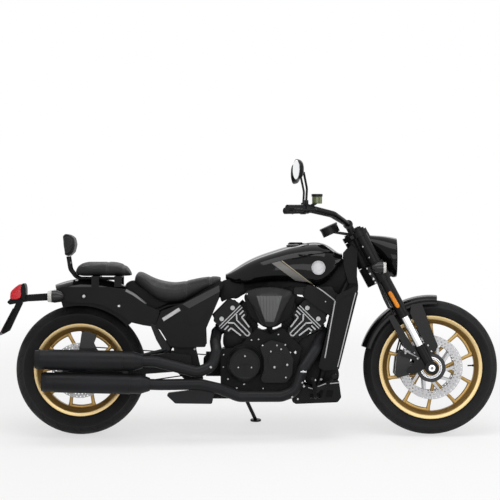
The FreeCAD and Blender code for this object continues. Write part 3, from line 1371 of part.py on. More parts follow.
def side_stand(ground):
    """Side stand: hub on its bolt, leg, and a foot flat on the ground when the bike leans."""
    hub_ring = rod(STAND_PIVOT - STAND_AXIS * 12, STAND_PIVOT + STAND_AXIS * 12, STAND_HUB_R)
    tilt = math.radians(LEAN)
    up = V(0, -math.sin(tilt), math.cos(tilt))
    foot = STAND_PIVOT + STAND_LEG
    foot = foot - up * (foot.dot(up) - ground)
    pad = rod(foot, foot + up * 8, 27)
    leg = rod(STAND_PIVOT, foot + up * 5, 9)
    shape = joined([hub_ring, leg, pad])
    below = rod(foot - up * 40, foot, 60)
    return shape.cut(below).cut(rod(STAND_PIVOT - STAND_AXIS * 60, STAND_PIVOT + STAND_AXIS * 60,
                                    STAND_BOLT_R + SEAT_GAP))


# Assembly

def leaned(shape):
    """Shape carried from the upright bike to the parked one."""
    copy = shape.copy()
    copy.rotate(ORIGIN, V(1, 0, 0), -LEAN)
    return copy


def framed_with_stand():
    """Frame with the stand's bolt, relieved round the stand's hub."""
    relief = rod(STAND_PIVOT - STAND_AXIS * 13.5, STAND_PIVOT + STAND_AXIS * 60, STAND_HUB_R + 2)
    return frame().cut(relief).fuse(stand_bolt()).removeSplitter()


def front_wheel_nodes():
    """Front rim, tyre and discs at the front axle."""
    place = (WHEELBASE, 0, FRONT_TYRE_R)
    rim = cast_wheel(FRONT_FLANGE_R, FRONT_RIM_W, FRONT_HUB_HALF, AXLE_R + SEAT_GAP,
                     FRONT_DISC_Y, FRONT_BLADE_ANGLE)
    rubber = tyre(FRONT_TYRE_R, FRONT_TYRE_W, FRONT_FLANGE_R, FRONT_RIM_W)
    return {
        "front_rim": moved(rim, *place),
        "front_tyre": moved(rubber, *place),
        "front_discs": [moved(one, *place) for one in both(disc(FRONT_DISC_R, FRONT_DISC_Y))],
    }


def rear_wheel_nodes():
    """Rear rim, tyre, disc and pulley at the rear axle."""
    place = (0, 0, REAR_TYRE_R)
    rim = cast_wheel(REAR_FLANGE_R, REAR_RIM_W, REAR_HUB_HALF, REAR_AXLE_R + SEAT_GAP,
                     REAR_DISC_Y, REAR_BLADE_ANGLE)
    rubber = tyre(REAR_TYRE_R, REAR_TYRE_W, REAR_FLANGE_R, REAR_RIM_W)
    return {
        "rear_rim": moved(rim, *place),
        "rear_tyre": moved(rubber, *place),
        "rear_disc": moved(mirrored(disc(REAR_DISC_R, REAR_DISC_Y)), *place),
        "rear_pulley": moved(rear_pulley(), *place),
    }


def upright_nodes():
    """Every node of the upright bike by name."""
    nodes = {
        "frame": framed_with_stand(),
        "swingarm": [swingarm(), rear_axle()],
        "shock": shock(),
        "drive_belt": drive_belt(),
        "rear_caliper": rear_caliper(),
        "crankcase": crankcase(),
        "front_cylinder": cylinder(True),
        "rear_cylinder": cylinder(False),
        "engine_covers": engine_covers(),
        "air_cleaner": air_cleaner(),
        "radiator": radiator(),
        "radiator_shroud": radiator_shroud(),
        "belly_pan": belly_pan(),
        "fuel_tank": [fuel_tank(), filler_neck()],
        "filler_lid": filler_lid(),
        "rider_seat": rider_seat(),
        "pillion_seat": pillion_seat(),
        "backrest": backrest(),
        "rear_fender": rear_fender(),
        "fender_struts": fender_struts() + [seat_carrier()],
        "side_covers": side_covers() + neck_covers() + wing_panels(),
        "exhaust_pipes": exhaust_pipes(),
        "mufflers": mufflers(),
        "tail_light": tail_light(),
        "plate_bracket": plate_bracket(),
        "rear_indicators": rear_indicators(),
        "foot_controls": foot_pegs() + foot_levers(),
        "yokes": yokes(),
        "fork_tubes": fork_tubes(),
        "fork_sliders": fork_sliders(),
        "fork_feet": fork_feet(),
        "front_axle": front_axle(),
        "front_fender": front_fender(),
        "front_calipers": front_calipers(),
        "handlebar": handlebar(),
        "bar_controls": grips() + bar_controls(),
        "mirrors": mirrors(),
        "instrument": instrument(),
        "headlight": headlight(),
        "headlight_lens": headlight_lens(),
        "front_indicators": front_indicators(),
    }
    nodes.update(front_wheel_nodes())
    nodes.update(rear_wheel_nodes())
    return nodes


def assemble():
    """Parked bike: every node leaned over, with its origin on the ground under the middle."""
    nodes = upright_nodes()
    whole = {}
    for name, shape in nodes.items():
        shapes = shape if isinstance(shape, list) else [shape]
        whole[name] = leaned(shapes[0] if len(shapes) == 1 else Part.makeCompound(shapes))
    ground = min(whole[name].optimalBoundingBox().ZMin for name in ("front_tyre", "rear_tyre"))
    whole["side_stand"] = leaned(side_stand(ground))
    box = FreeCAD.BoundBox()
    for shape in whole.values():
        box.add(shape.BoundBox)
    shift = V(-(box.XMin + box.XMax) / 2, -(box.YMin + box.YMax) / 2, -ground)
    return {name: moved(shape, shift.x, shift.y, shift.z) for name, shape in whole.items()}, shift


os.makedirs("parts", exist_ok=True)
PARTS, SHIFT = assemble()
for node, solid in PARTS.items():
    solid.exportStep("parts/" + node + ".step")
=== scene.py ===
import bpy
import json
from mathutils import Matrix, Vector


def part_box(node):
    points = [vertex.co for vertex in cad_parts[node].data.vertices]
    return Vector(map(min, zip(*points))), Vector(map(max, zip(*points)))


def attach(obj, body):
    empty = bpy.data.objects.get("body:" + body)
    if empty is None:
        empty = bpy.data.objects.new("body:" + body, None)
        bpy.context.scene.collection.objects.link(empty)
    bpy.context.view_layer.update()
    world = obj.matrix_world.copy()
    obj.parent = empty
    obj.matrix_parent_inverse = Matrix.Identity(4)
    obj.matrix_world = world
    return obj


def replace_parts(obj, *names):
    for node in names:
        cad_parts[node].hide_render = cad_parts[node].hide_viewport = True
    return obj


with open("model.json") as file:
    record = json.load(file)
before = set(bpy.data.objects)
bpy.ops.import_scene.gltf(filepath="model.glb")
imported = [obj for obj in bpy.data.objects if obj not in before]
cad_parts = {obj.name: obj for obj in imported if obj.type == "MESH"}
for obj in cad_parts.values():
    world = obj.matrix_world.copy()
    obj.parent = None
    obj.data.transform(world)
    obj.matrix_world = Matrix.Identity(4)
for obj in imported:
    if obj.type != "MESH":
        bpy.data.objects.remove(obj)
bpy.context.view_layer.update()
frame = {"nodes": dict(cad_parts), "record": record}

import json
import math

import bmesh
import bpy
import numpy as np
from mathutils.bvhtree import BVHTree

nodes = frame["nodes"]

# The photograph's view. The bike is measured upright in metres, with X forward from the rear axle,
# Y to the left and Z up from the ground, and parks leaning over on its side stand. The camera looks
# at its right side, square to the leaning wheels, from 12 m.

LEAN = math.radians(9.0)
HUBS = {"front": (1.724, 0.0, 0.332), "rear": (0.0, 0.0, 0.3205)}
CAMERA_X, CAMERA_Z, CAMERA_AWAY = 0.834, 0.910, 12.0
SEEN_WIDTH, SENSOR_WIDTH = 2.472, 36.0


def turned_with_bike(points):
    """Directions of the upright bike in the parked frame: a turn about X by the lean."""
    p = np.asarray(points, float)
    c, s = math.cos(LEAN), math.sin(LEAN)
    return np.stack([p[..., 0], p[..., 1] * c + p[..., 2] * s, -p[..., 1] * s + p[..., 2] * c], axis=-1)


def frame_shift():
    """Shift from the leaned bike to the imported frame: the middle of the front tyre's box is its hub."""
    low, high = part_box("front_tyre")
    middle = (np.array(low) + np.array(high)) / 2
    return middle - turned_with_bike(HUBS["front"])


SHIFT = frame_shift()


def parked(points):
    """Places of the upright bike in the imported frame."""
    return turned_with_bike(points) + SHIFT


camera_data = bpy.data.cameras.new("camera")
camera_data.sensor_width = SENSOR_WIDTH
camera_data.lens = SENSOR_WIDTH * CAMERA_AWAY / SEEN_WIDTH
camera_data.clip_end = 60.0
camera = bpy.data.objects.new("camera", camera_data)
camera.location = parked((CAMERA_X, -CAMERA_AWAY, CAMERA_Z))
camera.rotation_euler = (math.radians(90.0) - LEAN, 0.0, 0.0)
bpy.context.scene.collection.objects.link(camera)
bpy.context.scene.camera = camera
bpy.context.scene.view_settings.view_transform = "Standard"


# The studio: a pale floor that runs out into a white background, a soft box above, a wide fill on the
# camera's side and a strip behind that edges the black paint.

def wired(tree, kind, **settings):
    """New node in a tree, with its properties and its inputs' values set by name."""
    node = tree.nodes.new(kind)
    for name, value in settings.items():
        if hasattr(node, name):
            setattr(node, name, value)
        else:
            node.inputs[name.replace("_", " ")].default_value = value
    return node


def feed(tree, value, socket):
    """A socket's value: a link from another socket, or the number or colour itself."""
    if isinstance(value, bpy.types.NodeSocket):
        tree.links.new(value, socket)
    else:
        socket.default_value = value


def maths(tree, operation, *values, clamp=False):
    """Result of a Math node on links or numbers."""
    node = wired(tree, "ShaderNodeMath", operation=operation, use_clamp=clamp)
    for value, socket in zip(values, node.inputs):
        feed(tree, value, socket)
    return node.outputs[0]


def seen_directly(tree):
    """One for a camera, glossy or transmitted ray and nought for the light that falls on things."""
    rays = wired(tree, "ShaderNodeLightPath").outputs
    seen = maths(tree, "MAXIMUM", rays["Is Camera Ray"], rays["Is Glossy Ray"])
    return maths(tree, "MAXIMUM", seen, rays["Is Transmission Ray"])


world = bpy.data.worlds.new("studio")
bpy.context.scene.world = world
world.use_nodes = True
tree = world.node_tree
tree.nodes.clear()
strength = wired(tree, "ShaderNodeMapRange", clamp=True, To_Min=0.42)
background = wired(tree, "ShaderNodeBackground")
background.inputs["Color"].default_value = (1.0, 1.0, 1.0, 1.0)
output = wired(tree, "ShaderNodeOutputWorld")
tree.links.new(seen_directly(tree), strength.inputs["Value"])
tree.links.new(strength.outputs["Result"], background.inputs["Strength"])
tree.links.new(background.outputs[0], output.inputs["Surface"])


def mesh_piece(name, vertices, faces, smooth=True):
    """Object whose mesh has these points and faces, at the origin."""
    mesh = bpy.data.meshes.new(name)
    mesh.from_pydata(np.asarray(vertices, float).tolist(), [], [tuple(int(i) for i in f) for f in faces])
    mesh.validate()
    if smooth:
        mesh.shade_smooth()
    piece = bpy.data.objects.new(name, mesh)
    bpy.context.scene.collection.objects.link(piece)
    return piece


floor = mesh_piece("floor", [(-30, -30, 0), (30, -30, 0), (30, 30, 0), (-30, 30, 0)], [(0, 1, 2, 3)], False)
floor_material = bpy.data.materials.new("floor_white")
floor_material.use_nodes = True
tree = floor_material.node_tree
tree.nodes.clear()
place = wired(tree, "ShaderNodeTexCoord")
distance = wired(tree, "ShaderNodeVectorMath", operation="LENGTH")
tree.links.new(place.outputs["Object"], distance.inputs[0])
far_off = wired(tree, "ShaderNodeMapRange", clamp=True, interpolation_type="SMOOTHSTEP", From_Min=1.5,
                From_Max=3.4, To_Min=0.62)
tree.links.new(distance.outputs["Value"], far_off.inputs["Value"])
seen_far = maths(tree, "MULTIPLY", far_off.outputs["Result"], seen_directly(tree))
matt = wired(tree, "ShaderNodeBsdfPrincipled", Roughness=0.9)
matt.inputs["Base Color"].default_value = (0.92, 0.92, 0.92, 1.0)
matt.inputs["Specular IOR Level"].default_value = 0.0
white = wired(tree, "ShaderNodeEmission")
mixed = wired(tree, "ShaderNodeMixShader")
output = wired(tree, "ShaderNodeOutputMaterial")
tree.links.new(seen_far, mixed.inputs[0])
tree.links.new(matt.outputs[0], mixed.inputs[1])
tree.links.new(white.outputs[0], mixed.inputs[2])
tree.links.new(mixed.outputs[0], output.inputs["Surface"])
floor.data.materials.append(floor_material)


def soft_box(name, place, aim, width, height, watts):
    """Rectangular area lamp turned to a point."""
    data = bpy.data.lights.new(name, "AREA")
    data.shape = "RECTANGLE"
    data.size = width
    data.size_y = height
    data.energy = watts
    lamp = bpy.data.objects.new(name, data)
    bpy.context.scene.collection.objects.link(lamp)
    lamp.location = place
    away = np.array(place, float) - np.array(aim, float)
    across = math.hypot(away[0], away[1])
    lamp.rotation_euler = (math.atan2(across, away[2]), 0.0,
                           math.atan2(away[1], away[0]) + math.radians(90.0))
    return lamp


soft_box("top_box", (0.0, -0.8, 3.6), (0.0, 0.0, 0.5), 3.6, 1.8, 62.0)
soft_box("side_fill", (0.6, -5.2, 2.0), (0.0, 0.0, 0.6), 4.5, 2.2, 78.0)
soft_box("back_strip", (0.0, 3.4, 2.4), (0.0, 0.0, 0.7), 4.0, 0.8, 20.0)
soft_box("front_strip", (3.8, -1.2, 1.6), (0.4, 0.0, 0.6), 0.9, 2.4, 22.0)


# Tyres: radial road tyres of black rubber, moulded with curved grooves over the crown and plain
# walls. Each is seated in its rim and rides with the wheel.

def bike_place(tree, centre=(0.0, 0.0, 0.0)):
    """Places on the upright bike, measured from a point of it, for any texture."""
    coordinates = wired(tree, "ShaderNodeTexCoord")
    mapping = wired(tree, "ShaderNodeMapping", vector_type="TEXTURE")
    mapping.inputs["Rotation"].default_value = (-LEAN, 0.0, 0.0)
    mapping.inputs["Location"].default_value = tuple(parked(centre))
    tree.links.new(coordinates.outputs["Object"], mapping.inputs["Vector"])
    return mapping.outputs["Vector"]


def effect(name, inputs, outputs):
    """Empty node group with named sockets: (group, tree's input node, tree's output node)."""
    group = bpy.data.node_groups.new(name, "ShaderNodeTree")
    for socket, kind, value in inputs:
        made = group.interface.new_socket(name=socket, in_out="INPUT", socket_type="NodeSocket" + kind)
        if value is not None:
            made.default_value = value
    for socket, kind in outputs:
        group.interface.new_socket(name=socket, in_out="OUTPUT", socket_type="NodeSocket" + kind)
    return group, wired(group, "NodeGroupInput"), wired(group, "NodeGroupOutput")


def ramp(tree, value, start, end):
    """Nought before a value's start, one past its end, and a straight rise between them."""
    share = wired(tree, "ShaderNodeMapRange", clamp=True, From_Min=start, From_Max=end)
    tree.links.new(value, share.inputs["Value"])
    return share.outputs["Result"]


def worn_skin():
    """Grain of a surface and the slow patches of its handling: a fine noise and a broad one."""
    group, source, result = effect(
        "worn_skin", [("Vector", "Vector", None), ("Grain", "Float", 900.0), ("Patch", "Float", 7.0)],
        [("Height", "Float"), ("Tone", "Float")])
    fine = wired(group, "ShaderNodeTexNoise", Detail=3.0, Roughness=0.6)
    broad = wired(group, "ShaderNodeTexNoise", Detail=5.0, Roughness=0.55)
    for noise, scale in ((fine, "Grain"), (broad, "Patch")):
        group.links.new(source.outputs["Vector"], noise.inputs["Vector"])
        group.links.new(source.outputs[scale], noise.inputs["Scale"])
    group.links.new(fine.outputs["Fac"], result.inputs["Height"])
    group.links.new(ramp(group, broad.outputs["Fac"], 0.35, 0.65), result.inputs["Tone"])
    return group


WORN_SKIN = worn_skin()


def colour_mix(tree, share, first, second):
    """Colour between two colours or links by a share."""
    mix = wired(tree, "ShaderNodeMix", data_type="RGBA")
    tree.links.new(share, mix.inputs[0])
    for socket, colour in ((mix.inputs[6], first), (mix.inputs[7], second)):
        feed(tree, (*colour, 1.0) if isinstance(colour, tuple) else colour, socket)
    return mix.outputs[2]


def value_mix(tree, share, first, second):
    """Number between two numbers or links by a share."""
    mix = wired(tree, "ShaderNodeMix", data_type="FLOAT")
    tree.links.new(share, mix.inputs[0])
    feed(tree, first, mix.inputs[2])
    feed(tree, second, mix.inputs[3])
    return mix.outputs[0]


def start_finish(name, grain=900.0, patch=7.0, centre=(0.0, 0.0, 0.0)):
    """Material with its shader, place and worn skin: (material, tree, shader, place, skin)."""
    material = bpy.data.materials.new(name)
    material.use_nodes = True
    tree = material.node_tree
    tree.nodes.clear()
    shader = wired(tree, "ShaderNodeBsdfPrincipled")
    output = wired(tree, "ShaderNodeOutputMaterial")
    tree.links.new(shader.outputs[0], output.inputs["Surface"])
    place = bike_place(tree, centre)
    skin = wired(tree, "ShaderNodeGroup", node_tree=WORN_SKIN)
    skin.inputs["Grain"].default_value = grain
    skin.inputs["Patch"].default_value = patch
    tree.links.new(place, skin.inputs["Vector"])
    return material, tree, shader, place, skin


def bump(tree, shader, height, depth, strength=1.0):
    """Surface relief of a depth in metres on a shader."""
    node = wired(tree, "ShaderNodeBump", Distance=depth, Strength=strength)
    tree.links.new(height, node.inputs["Height"])
    tree.links.new(node.outputs["Normal"], shader.inputs["Normal"])


def surface(name, light, dark, rough, relief=0.0, metallic=0.0, coat=0.0, grain=900.0, patch=7.0, level=0.5,
            marks=()):
    """Finish of two close colours in patches, with a range of roughness and a fine grain. A flat mark
    on it is a share over the surface, its colour and its roughness."""
    material, tree, shader, place, skin = start_finish(name, grain, patch)
    colour = colour_mix(tree, skin.outputs["Tone"], light, dark)
    dull = value_mix(tree, skin.outputs["Tone"], *rough)
    for mark, paint, paint_dull in marks:
        share = mark(tree, place)
        colour = colour_mix(tree, share, colour, paint)
        dull = value_mix(tree, share, dull, paint_dull)
    tree.links.new(colour, shader.inputs["Base Color"])
    tree.links.new(dull, shader.inputs["Roughness"])
    shader.inputs["Metallic"].default_value = metallic
    shader.inputs["Coat Weight"].default_value = coat
    shader.inputs["Coat Roughness"].default_value = 0.04
    shader.inputs["Specular IOR Level"].default_value = level
    if relief:
        bump(tree, shader, skin.outputs["Height"], relief)
    return material


def dress(node, material):
    """A CAD node in its finish."""
    nodes[node].data.materials.clear()
    nodes[node].data.materials.append(material)


def smooth_through(points, count):
    """Smooth curve through rows of numbers: between two of them runs the cubic whose slope at each is
    half the step from the row before it to the row after it."""
    p = np.asarray(points, float)
    padded = np.vstack([2 * p[0] - p[1], p, 2 * p[-1] - p[-2]])
    t = np.linspace(0, len(p) - 1, count)
    i = np.minimum(t.astype(int), len(p) - 2)
    u = (t - i)[:, None]
    a, b, c, d = padded[i], padded[i + 1], padded[i + 2], padded[i + 3]
    bend, twist = 2 * a - 5 * b + 4 * c - d, 3 * b - a - 3 * c + d
    return 0.5 * (2 * b + (c - a) * u + bend * u ** 2 + twist * u ** 3)


def grid_faces(rows, columns, close_rows=False, close_columns=False):
    """Quads of a grid of points counted row by row."""
    i = np.arange(rows if close_rows else rows - 1)
    j = np.arange(columns if close_columns else columns - 1)
    i, j = np.meshgrid(i, j, indexing="ij")
    k, m = (i + 1) % rows, (j + 1) % columns
    return np.stack([i * columns + j, i * columns + m, k * columns + m, k * columns + j], -1).reshape(-1, 4)


def outward(piece):
    """Faces of a closed mesh turned to point outwards."""
    shape = bmesh.new()
    shape.from_mesh(piece.data)
    bmesh.ops.remove_doubles(shape, verts=shape.verts, dist=1e-6)
    bmesh.ops.recalc_face_normals(shape, faces=shape.faces)
    shape.to_mesh(piece.data)
    shape.free()
    return piece


def sharpened(piece, degrees=35.0):
    """Smooth shading that breaks at edges sharper than an angle."""
    piece.data.shade_smooth()
    piece.data.set_sharp_from_angle(angle=math.radians(degrees))
    return piece


def tyre(name, hub, outer, width, flange, rim_width, sets):
    """Tyre on a grid: its section carried round the axle. The tread's depth is a groove wherever
    the turn plus a bend across the crown comes near a whole part of a turn."""
    half, wall = width / 2, 0.009
    bead, seat, belly = rim_width / 2 - 0.0063, flange - 0.0127, (outer + flange) / 2
    side = [(seat, bead), (flange + 0.003, bead), (flange + 0.012, bead + 0.007), (belly, half),
            (outer - 0.42 * half, 0.88 * half), (outer - 0.12 * half, 0.5 * half), (outer, 0.0)]
    section = smooth_through(side[1:] + [(r, -y) for r, y in reversed(side[1:-1])], 91)
    lining = smooth_through([(seat + 0.004, -bead + wall), (belly, -half + wall), (outer - wall, 0.0),
                             (belly, half - wall), (seat + 0.004, bead - wall)], 17)
    section = np.vstack([[side[0]], section, [(side[0][0], -side[0][1])], lining])
    turn = np.linspace(0, 2 * math.pi, 720, endpoint=False)[:, None]
    r = np.broadcast_to(section[:, 0], (720, len(section))).copy()
    y = np.broadcast_to(section[:, 1], r.shape)
    across = y / half
    tread = (np.arange(len(section)) > 12) & (np.arange(len(section)) < 81)
    main = np.mod(turn / (2 * math.pi) * sets + 0.9 * np.abs(across) ** 1.5 + 0.25 * np.sign(across), 1.0)
    cut = np.clip(1.6 - np.abs(main - 0.5) * 26, 0, 1) * (np.abs(across) > 0.14) * (np.abs(across) < 0.82)
    second = np.mod(turn / (2 * math.pi) * sets + 0.5 - 0.7 * np.abs(across), 1.0)
    cut = np.maximum(cut, np.clip(1.4 - np.abs(second - 0.5) * 30, 0, 1) * (np.abs(across) > 0.42)
                     * (np.abs(across) < 0.74))
    r = r - 0.0035 * cut * tread
    ring = 0.0006 * np.clip(1 - np.abs(section[:, 0] - belly + 0.004) / 0.0015, 0, 1)
    y = y + np.sign(y) * ring * (np.arange(len(section)) < 93)
    points = np.stack([r * np.cos(turn), y, r * np.sin(turn)], -1) + np.array(hub)
    piece = mesh_piece(name, parked(points).reshape(-1, 3), grid_faces(720, len(section), True, True))
    return sharpened(outward(piece), 30.0)


def about_axle(tree, place):
    """Distance from the axle's line of a place measured from the hub."""
    flat = wired(tree, "ShaderNodeVectorMath", operation="MULTIPLY")
    flat.inputs[1].default_value = (1.0, 0.0, 1.0)
    tree.links.new(place, flat.inputs[0])
    radius = wired(tree, "ShaderNodeVectorMath", operation="LENGTH")
    tree.links.new(flat.outputs[0], radius.inputs[0])
    return radius.outputs["Value"]


def waves(tree, value, rate):
    """Sine of a value times a rate."""
    return maths(tree, "SINE", maths(tree, "MULTIPLY", value, rate))


def rubber(name, hub):
    """Tyre rubber: near black and dull, with fine moulded rings."""
    material, tree, shader, place, skin = start_finish(name, 1400.0, 9.0, hub)
    tree.links.new(colour_mix(tree, skin.outputs["Tone"], (0.010, 0.010, 0.0105), (0.016, 0.016, 0.0165)),
                   shader.inputs["Base Color"])
    tree.links.new(value_mix(tree, skin.outputs["Tone"], 0.62, 0.78), shader.inputs["Roughness"])
    shader.inputs["Specular IOR Level"].default_value = 0.16
    rings = waves(tree, about_axle(tree, place), 2400.0)
    bump(tree, shader, maths(tree, "MULTIPLY_ADD", rings, 0.25, skin.outputs["Height"]), 0.0003)
    return material


for end, outer, width, flange, rim_width, sets in (("front", 0.3308, 0.130, 0.2547, 0.090, 26),
                                                   ("rear", 0.3205, 0.190, 0.228, 0.150, 22)):
    piece = tyre(end + "_road_tyre", HUBS[end], outer, width, flange, rim_width, sets)
    piece.data.materials.append(rubber(end + "_rubber", HUBS[end]))
    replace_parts(piece, end + "_tyre")
    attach(piece, end + "_wheel")


# Wheels: cast aluminium, painted gold, with the outer face of each rim turned bright. Five pairs of
# slim blades run from the hub to arched webs under the rim, and a black valve stands in each rim.

def turned_shell(profile, count=96, order=(0, 2, 1)):
    """Turning: a closed profile of (radius, height) pairs carried round an axis in equal steps. The
    order puts radius times cosine, radius times sine and height on X, Y and Z."""
    p = np.asarray(profile, float)
    a = np.linspace(0, 2 * math.pi, count, endpoint=False)[:, None]
    points = np.stack([p[:, 0] * np.cos(a), p[:, 0] * np.sin(a), np.broadcast_to(p[:, 1], (count, len(p)))],
                      -1)
    return points.reshape(-1, 3)[:, list(order)], grid_faces(count, len(p), True, True)


def together(parts):
    """Points and faces of several shapes as one list of each."""
    points, faces, base = [], [], 0
    for p, f in parts:
        points.append(np.asarray(p, float))
        faces += [[int(i) + base for i in face] for face in f]
        base += len(p)
    return np.concatenate(points), faces


def swept_bar(places, halves, count=20, power=4.0):
    """Bar through places in the wheel's plane: at each, a rounded box |a/w|^n + |b/d|^n = 1 whose
    half width w lies across the run and half depth d along the axle, with closed ends."""
    p, h = np.asarray(places, float), np.asarray(halves, float)
    run = np.gradient(p, axis=0)
    run /= np.linalg.norm(run, axis=1, keepdims=True)
    across = np.stack([-run[:, 1], run[:, 0]], -1)
    k = np.linspace(0, 2 * math.pi, count, endpoint=False)
    a = np.sign(np.cos(k)) * np.abs(np.cos(k)) ** (2 / power)
    b = np.sign(np.sin(k)) * np.abs(np.sin(k)) ** (2 / power)
    flat = p[:, None, :] + across[:, None, :] * (h[:, :1] * a)[:, :, None]
    points = np.stack([flat[..., 0], h[:, 1:] * b, flat[..., 1]], -1).reshape(-1, 3)
    faces = grid_faces(len(p), count, False, True).tolist()
    return points, faces + [list(range(count))[::-1], [len(points) - count + i for i in range(count)]]


def about(points, degrees):
    """Points turned in the wheel's plane about the axle."""
    a = math.radians(degrees)
    p = np.asarray(points, float)
    return np.stack([p[:, 0] * math.cos(a) - p[:, 2] * math.sin(a), p[:, 1],
                     p[:, 0] * math.sin(a) + p[:, 2] * math.cos(a)], -1)


def cast_wheel(name, hub, flange, width, hub_half, disc_y, bore, first):
    """Wheel casting: a turned rim and hub, and five pairs of blades with the webs that join them."""
    half, seat, inner = width / 2, flange - 0.013, flange - 0.039
    right = [(seat - 0.014, 0.0), (seat - 0.014, 0.3 * half), (seat, 0.5 * half), (seat, half - 0.006),
             (flange - 0.0006, half - 0.006), (flange, half - 0.005), (flange, half - 0.001),
             (flange - 0.001, half), (seat - 0.003, half), (seat - 0.006, half - 0.0015),
             (seat - 0.009, half - 0.005), (inner + 0.003, 0.56 * half), (inner, 0.48 * half),
             (inner - 0.001, 0.0)]
    rim = right + [(r, -y) for r, y in reversed(right[1:-1])]
    barrel = [(bore, hub_half), (0.037, hub_half), (0.040, hub_half - 0.003), (0.040, disc_y - 0.004),
              (0.032, disc_y - 0.012), (0.032, 0.036), (0.040, 0.028)]
    parts = [turned_shell(rim, 240), turned_shell(barrel + [(r, -y) for r, y in reversed(barrel)], 72)]
    along = np.linspace(0, 1, 9)
    reach = inner + 0.003
    for pair in range(5):
        turn = first + 72 * pair
        for side in (-1, 1):
            x = 0.020 + (math.sqrt(reach ** 2 - 0.0615 ** 2) - 0.020) * along
            z = side * (0.0325 + 0.14 * x)
            flare = 0.0085 + 0.004 * np.clip(along - 0.86, 0, 1) / 0.14 + 0.003 * np.clip(0.2 - along, 0,
                                                                                          1) / 0.2
            bar, faces = swept_bar(np.stack([x, z], -1), np.stack([flare, 0.022 - 0.009 * along], -1))
            parts.append((about(bar, turn), faces))
        a = np.radians(np.linspace(-17.2, 17.2, 25))
        middle = reach - 0.008
        web, faces = swept_bar(np.stack([middle * np.cos(a), middle * np.sin(a)], -1),
                               np.tile([0.0095, 0.0125], (25, 1)))
        parts.append((about(web, turn), faces))
    points, faces = together(parts)
    return sharpened(outward(mesh_piece(name, parked(points + np.array(hub)), faces)))


def between(tree, value, low, high, soft):
    """One between two numbers, with soft ends, and nought outside them."""
    return maths(tree, "MULTIPLY", ramp(tree, value, low - soft, low), ramp(tree, value, high + soft, high))


valve_rubber = surface("valve_rubber", (0.008, 0.008, 0.008), (0.012, 0.012, 0.012), (0.5, 0.6), level=0.2)
for end, flange, width, hub_half, disc_y, bore, first, valve in (
        ("front", 0.2547, 0.090, 0.078, 0.070, 0.0113, 250.0, 2.0),
        ("rear", 0.228, 0.150, 0.131, 0.112, 0.0113, 271.6, 88.0)):
    material, tree, shader, place, skin = start_finish(end + "_wheel_gold", 700.0, 12.0, HUBS[end])
    lip = between(tree, about_axle(tree, place), flange - 0.017, flange + 0.01, 0.0015)
    gold = colour_mix(tree, skin.outputs["Tone"], (0.40, 0.255, 0.085), (0.34, 0.215, 0.07))
    tree.links.new(colour_mix(tree, lip, gold, (0.50, 0.37, 0.18)), shader.inputs["Base Color"])
    tree.links.new(value_mix(tree, lip, 0.38, 0.3), shader.inputs["Roughness"])
    shader.inputs["Metallic"].default_value = 0.75
    bump(tree, shader, skin.outputs["Height"], 0.0002, 0.6)
    wheel = cast_wheel(end + "_casting", HUBS[end], flange, width, hub_half, disc_y, bore, first)
    wheel.data.materials.append(material)
    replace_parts(wheel, end + "_rim")
    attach(wheel, end + "_wheel")
    r = flange - 0.0385
    stem, faces = swept_bar([(r, 0), (r - 0.008, 0), (r - 0.0085, 0), (r - 0.029, 0), (r - 0.031, 0)],
                            [(0.0062, 0.0062), (0.005, 0.005), (0.0036, 0.0036), (0.0036, 0.0036),
                             (0.0026, 0.0026)], 12, 2.0)
    stem = sharpened(outward(mesh_piece(end + "_valve", parked(about(stem, valve) + np.array(HUBS[end])),
                                        faces)))
    stem.data.materials.append(valve_rubber)
    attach(stem, end + "_wheel")


# Brake discs: drilled steel bands on black carriers, screwed to the hubs; a slotted ring for the
# wheel sensor stands beside the front ones.

def drilled_band(inner, outer, rows, count, hole, low, high):
    """Flat ring with rows of holes: each cell is a square of 16 points round a circle of 16, bent
    round the axle, on two faces joined by the holes' and the ring's walls."""
    k = np.arange(16) * math.pi / 8
    c, s = np.cos(k), np.sin(k)
    big = np.maximum(np.abs(c), np.abs(s))
    edges = np.linspace(inner, outer, rows + 1)
    points, faces = [], []
    step = 2 * math.pi / count
    here, ahead = np.arange(16), (np.arange(16) + 1) % 16
    quad = np.stack([here, ahead, ahead + 16, here + 16], -1)
    for row in range(rows):
        middle, half = (edges[row] + edges[row + 1]) / 2, (edges[row + 1] - edges[row]) / 2
        for i in range(count):
            turn = (i + 0.5 * (row % 2)) * step
            r = np.concatenate([middle + half * c / big, middle + hole * c])
            a = np.concatenate([turn + step / 2 * s / big, turn + hole * s / middle])
            for y in (low, high):
                points.append(np.stack([r * np.cos(a), np.full(32, y), r * np.sin(a)], -1))
            base = 64 * (row * count + i)
            faces += [quad + base, quad + base + 32, quad % 16 + 16 + base + (quad >= 16) * 32]
            if row in (0, rows - 1):
                rim = [14, 15, 0, 1, 2] if row else [6, 7, 8, 9, 10]
                pairs = np.array([[rim[j], rim[j + 1], rim[j + 1] + 32, rim[j] + 32] for j in range(4)])
                faces.append(pairs + base)
    return np.concatenate(points), np.concatenate(faces)


def bar_between(start, end, width, low, high, narrow=1.0):
    """Flat arm from one place to another in the wheel's plane, as a block of eight points."""
    a, b = np.asarray(start, float), np.asarray(end, float)
    run = (b - a) / np.linalg.norm(b - a)
    out = np.array([-run[1], run[0]]) * width / 2
    flat = [a - out, a + out, b + out * narrow, b - out * narrow]
    points = [(p[0], y, p[1]) for y in (low, high) for p in flat]
    return points, [(0, 1, 2, 3), (7, 6, 5, 4), (0, 4, 5, 1), (1, 5, 6, 2), (2, 6, 7, 3), (3, 7, 4, 0)]


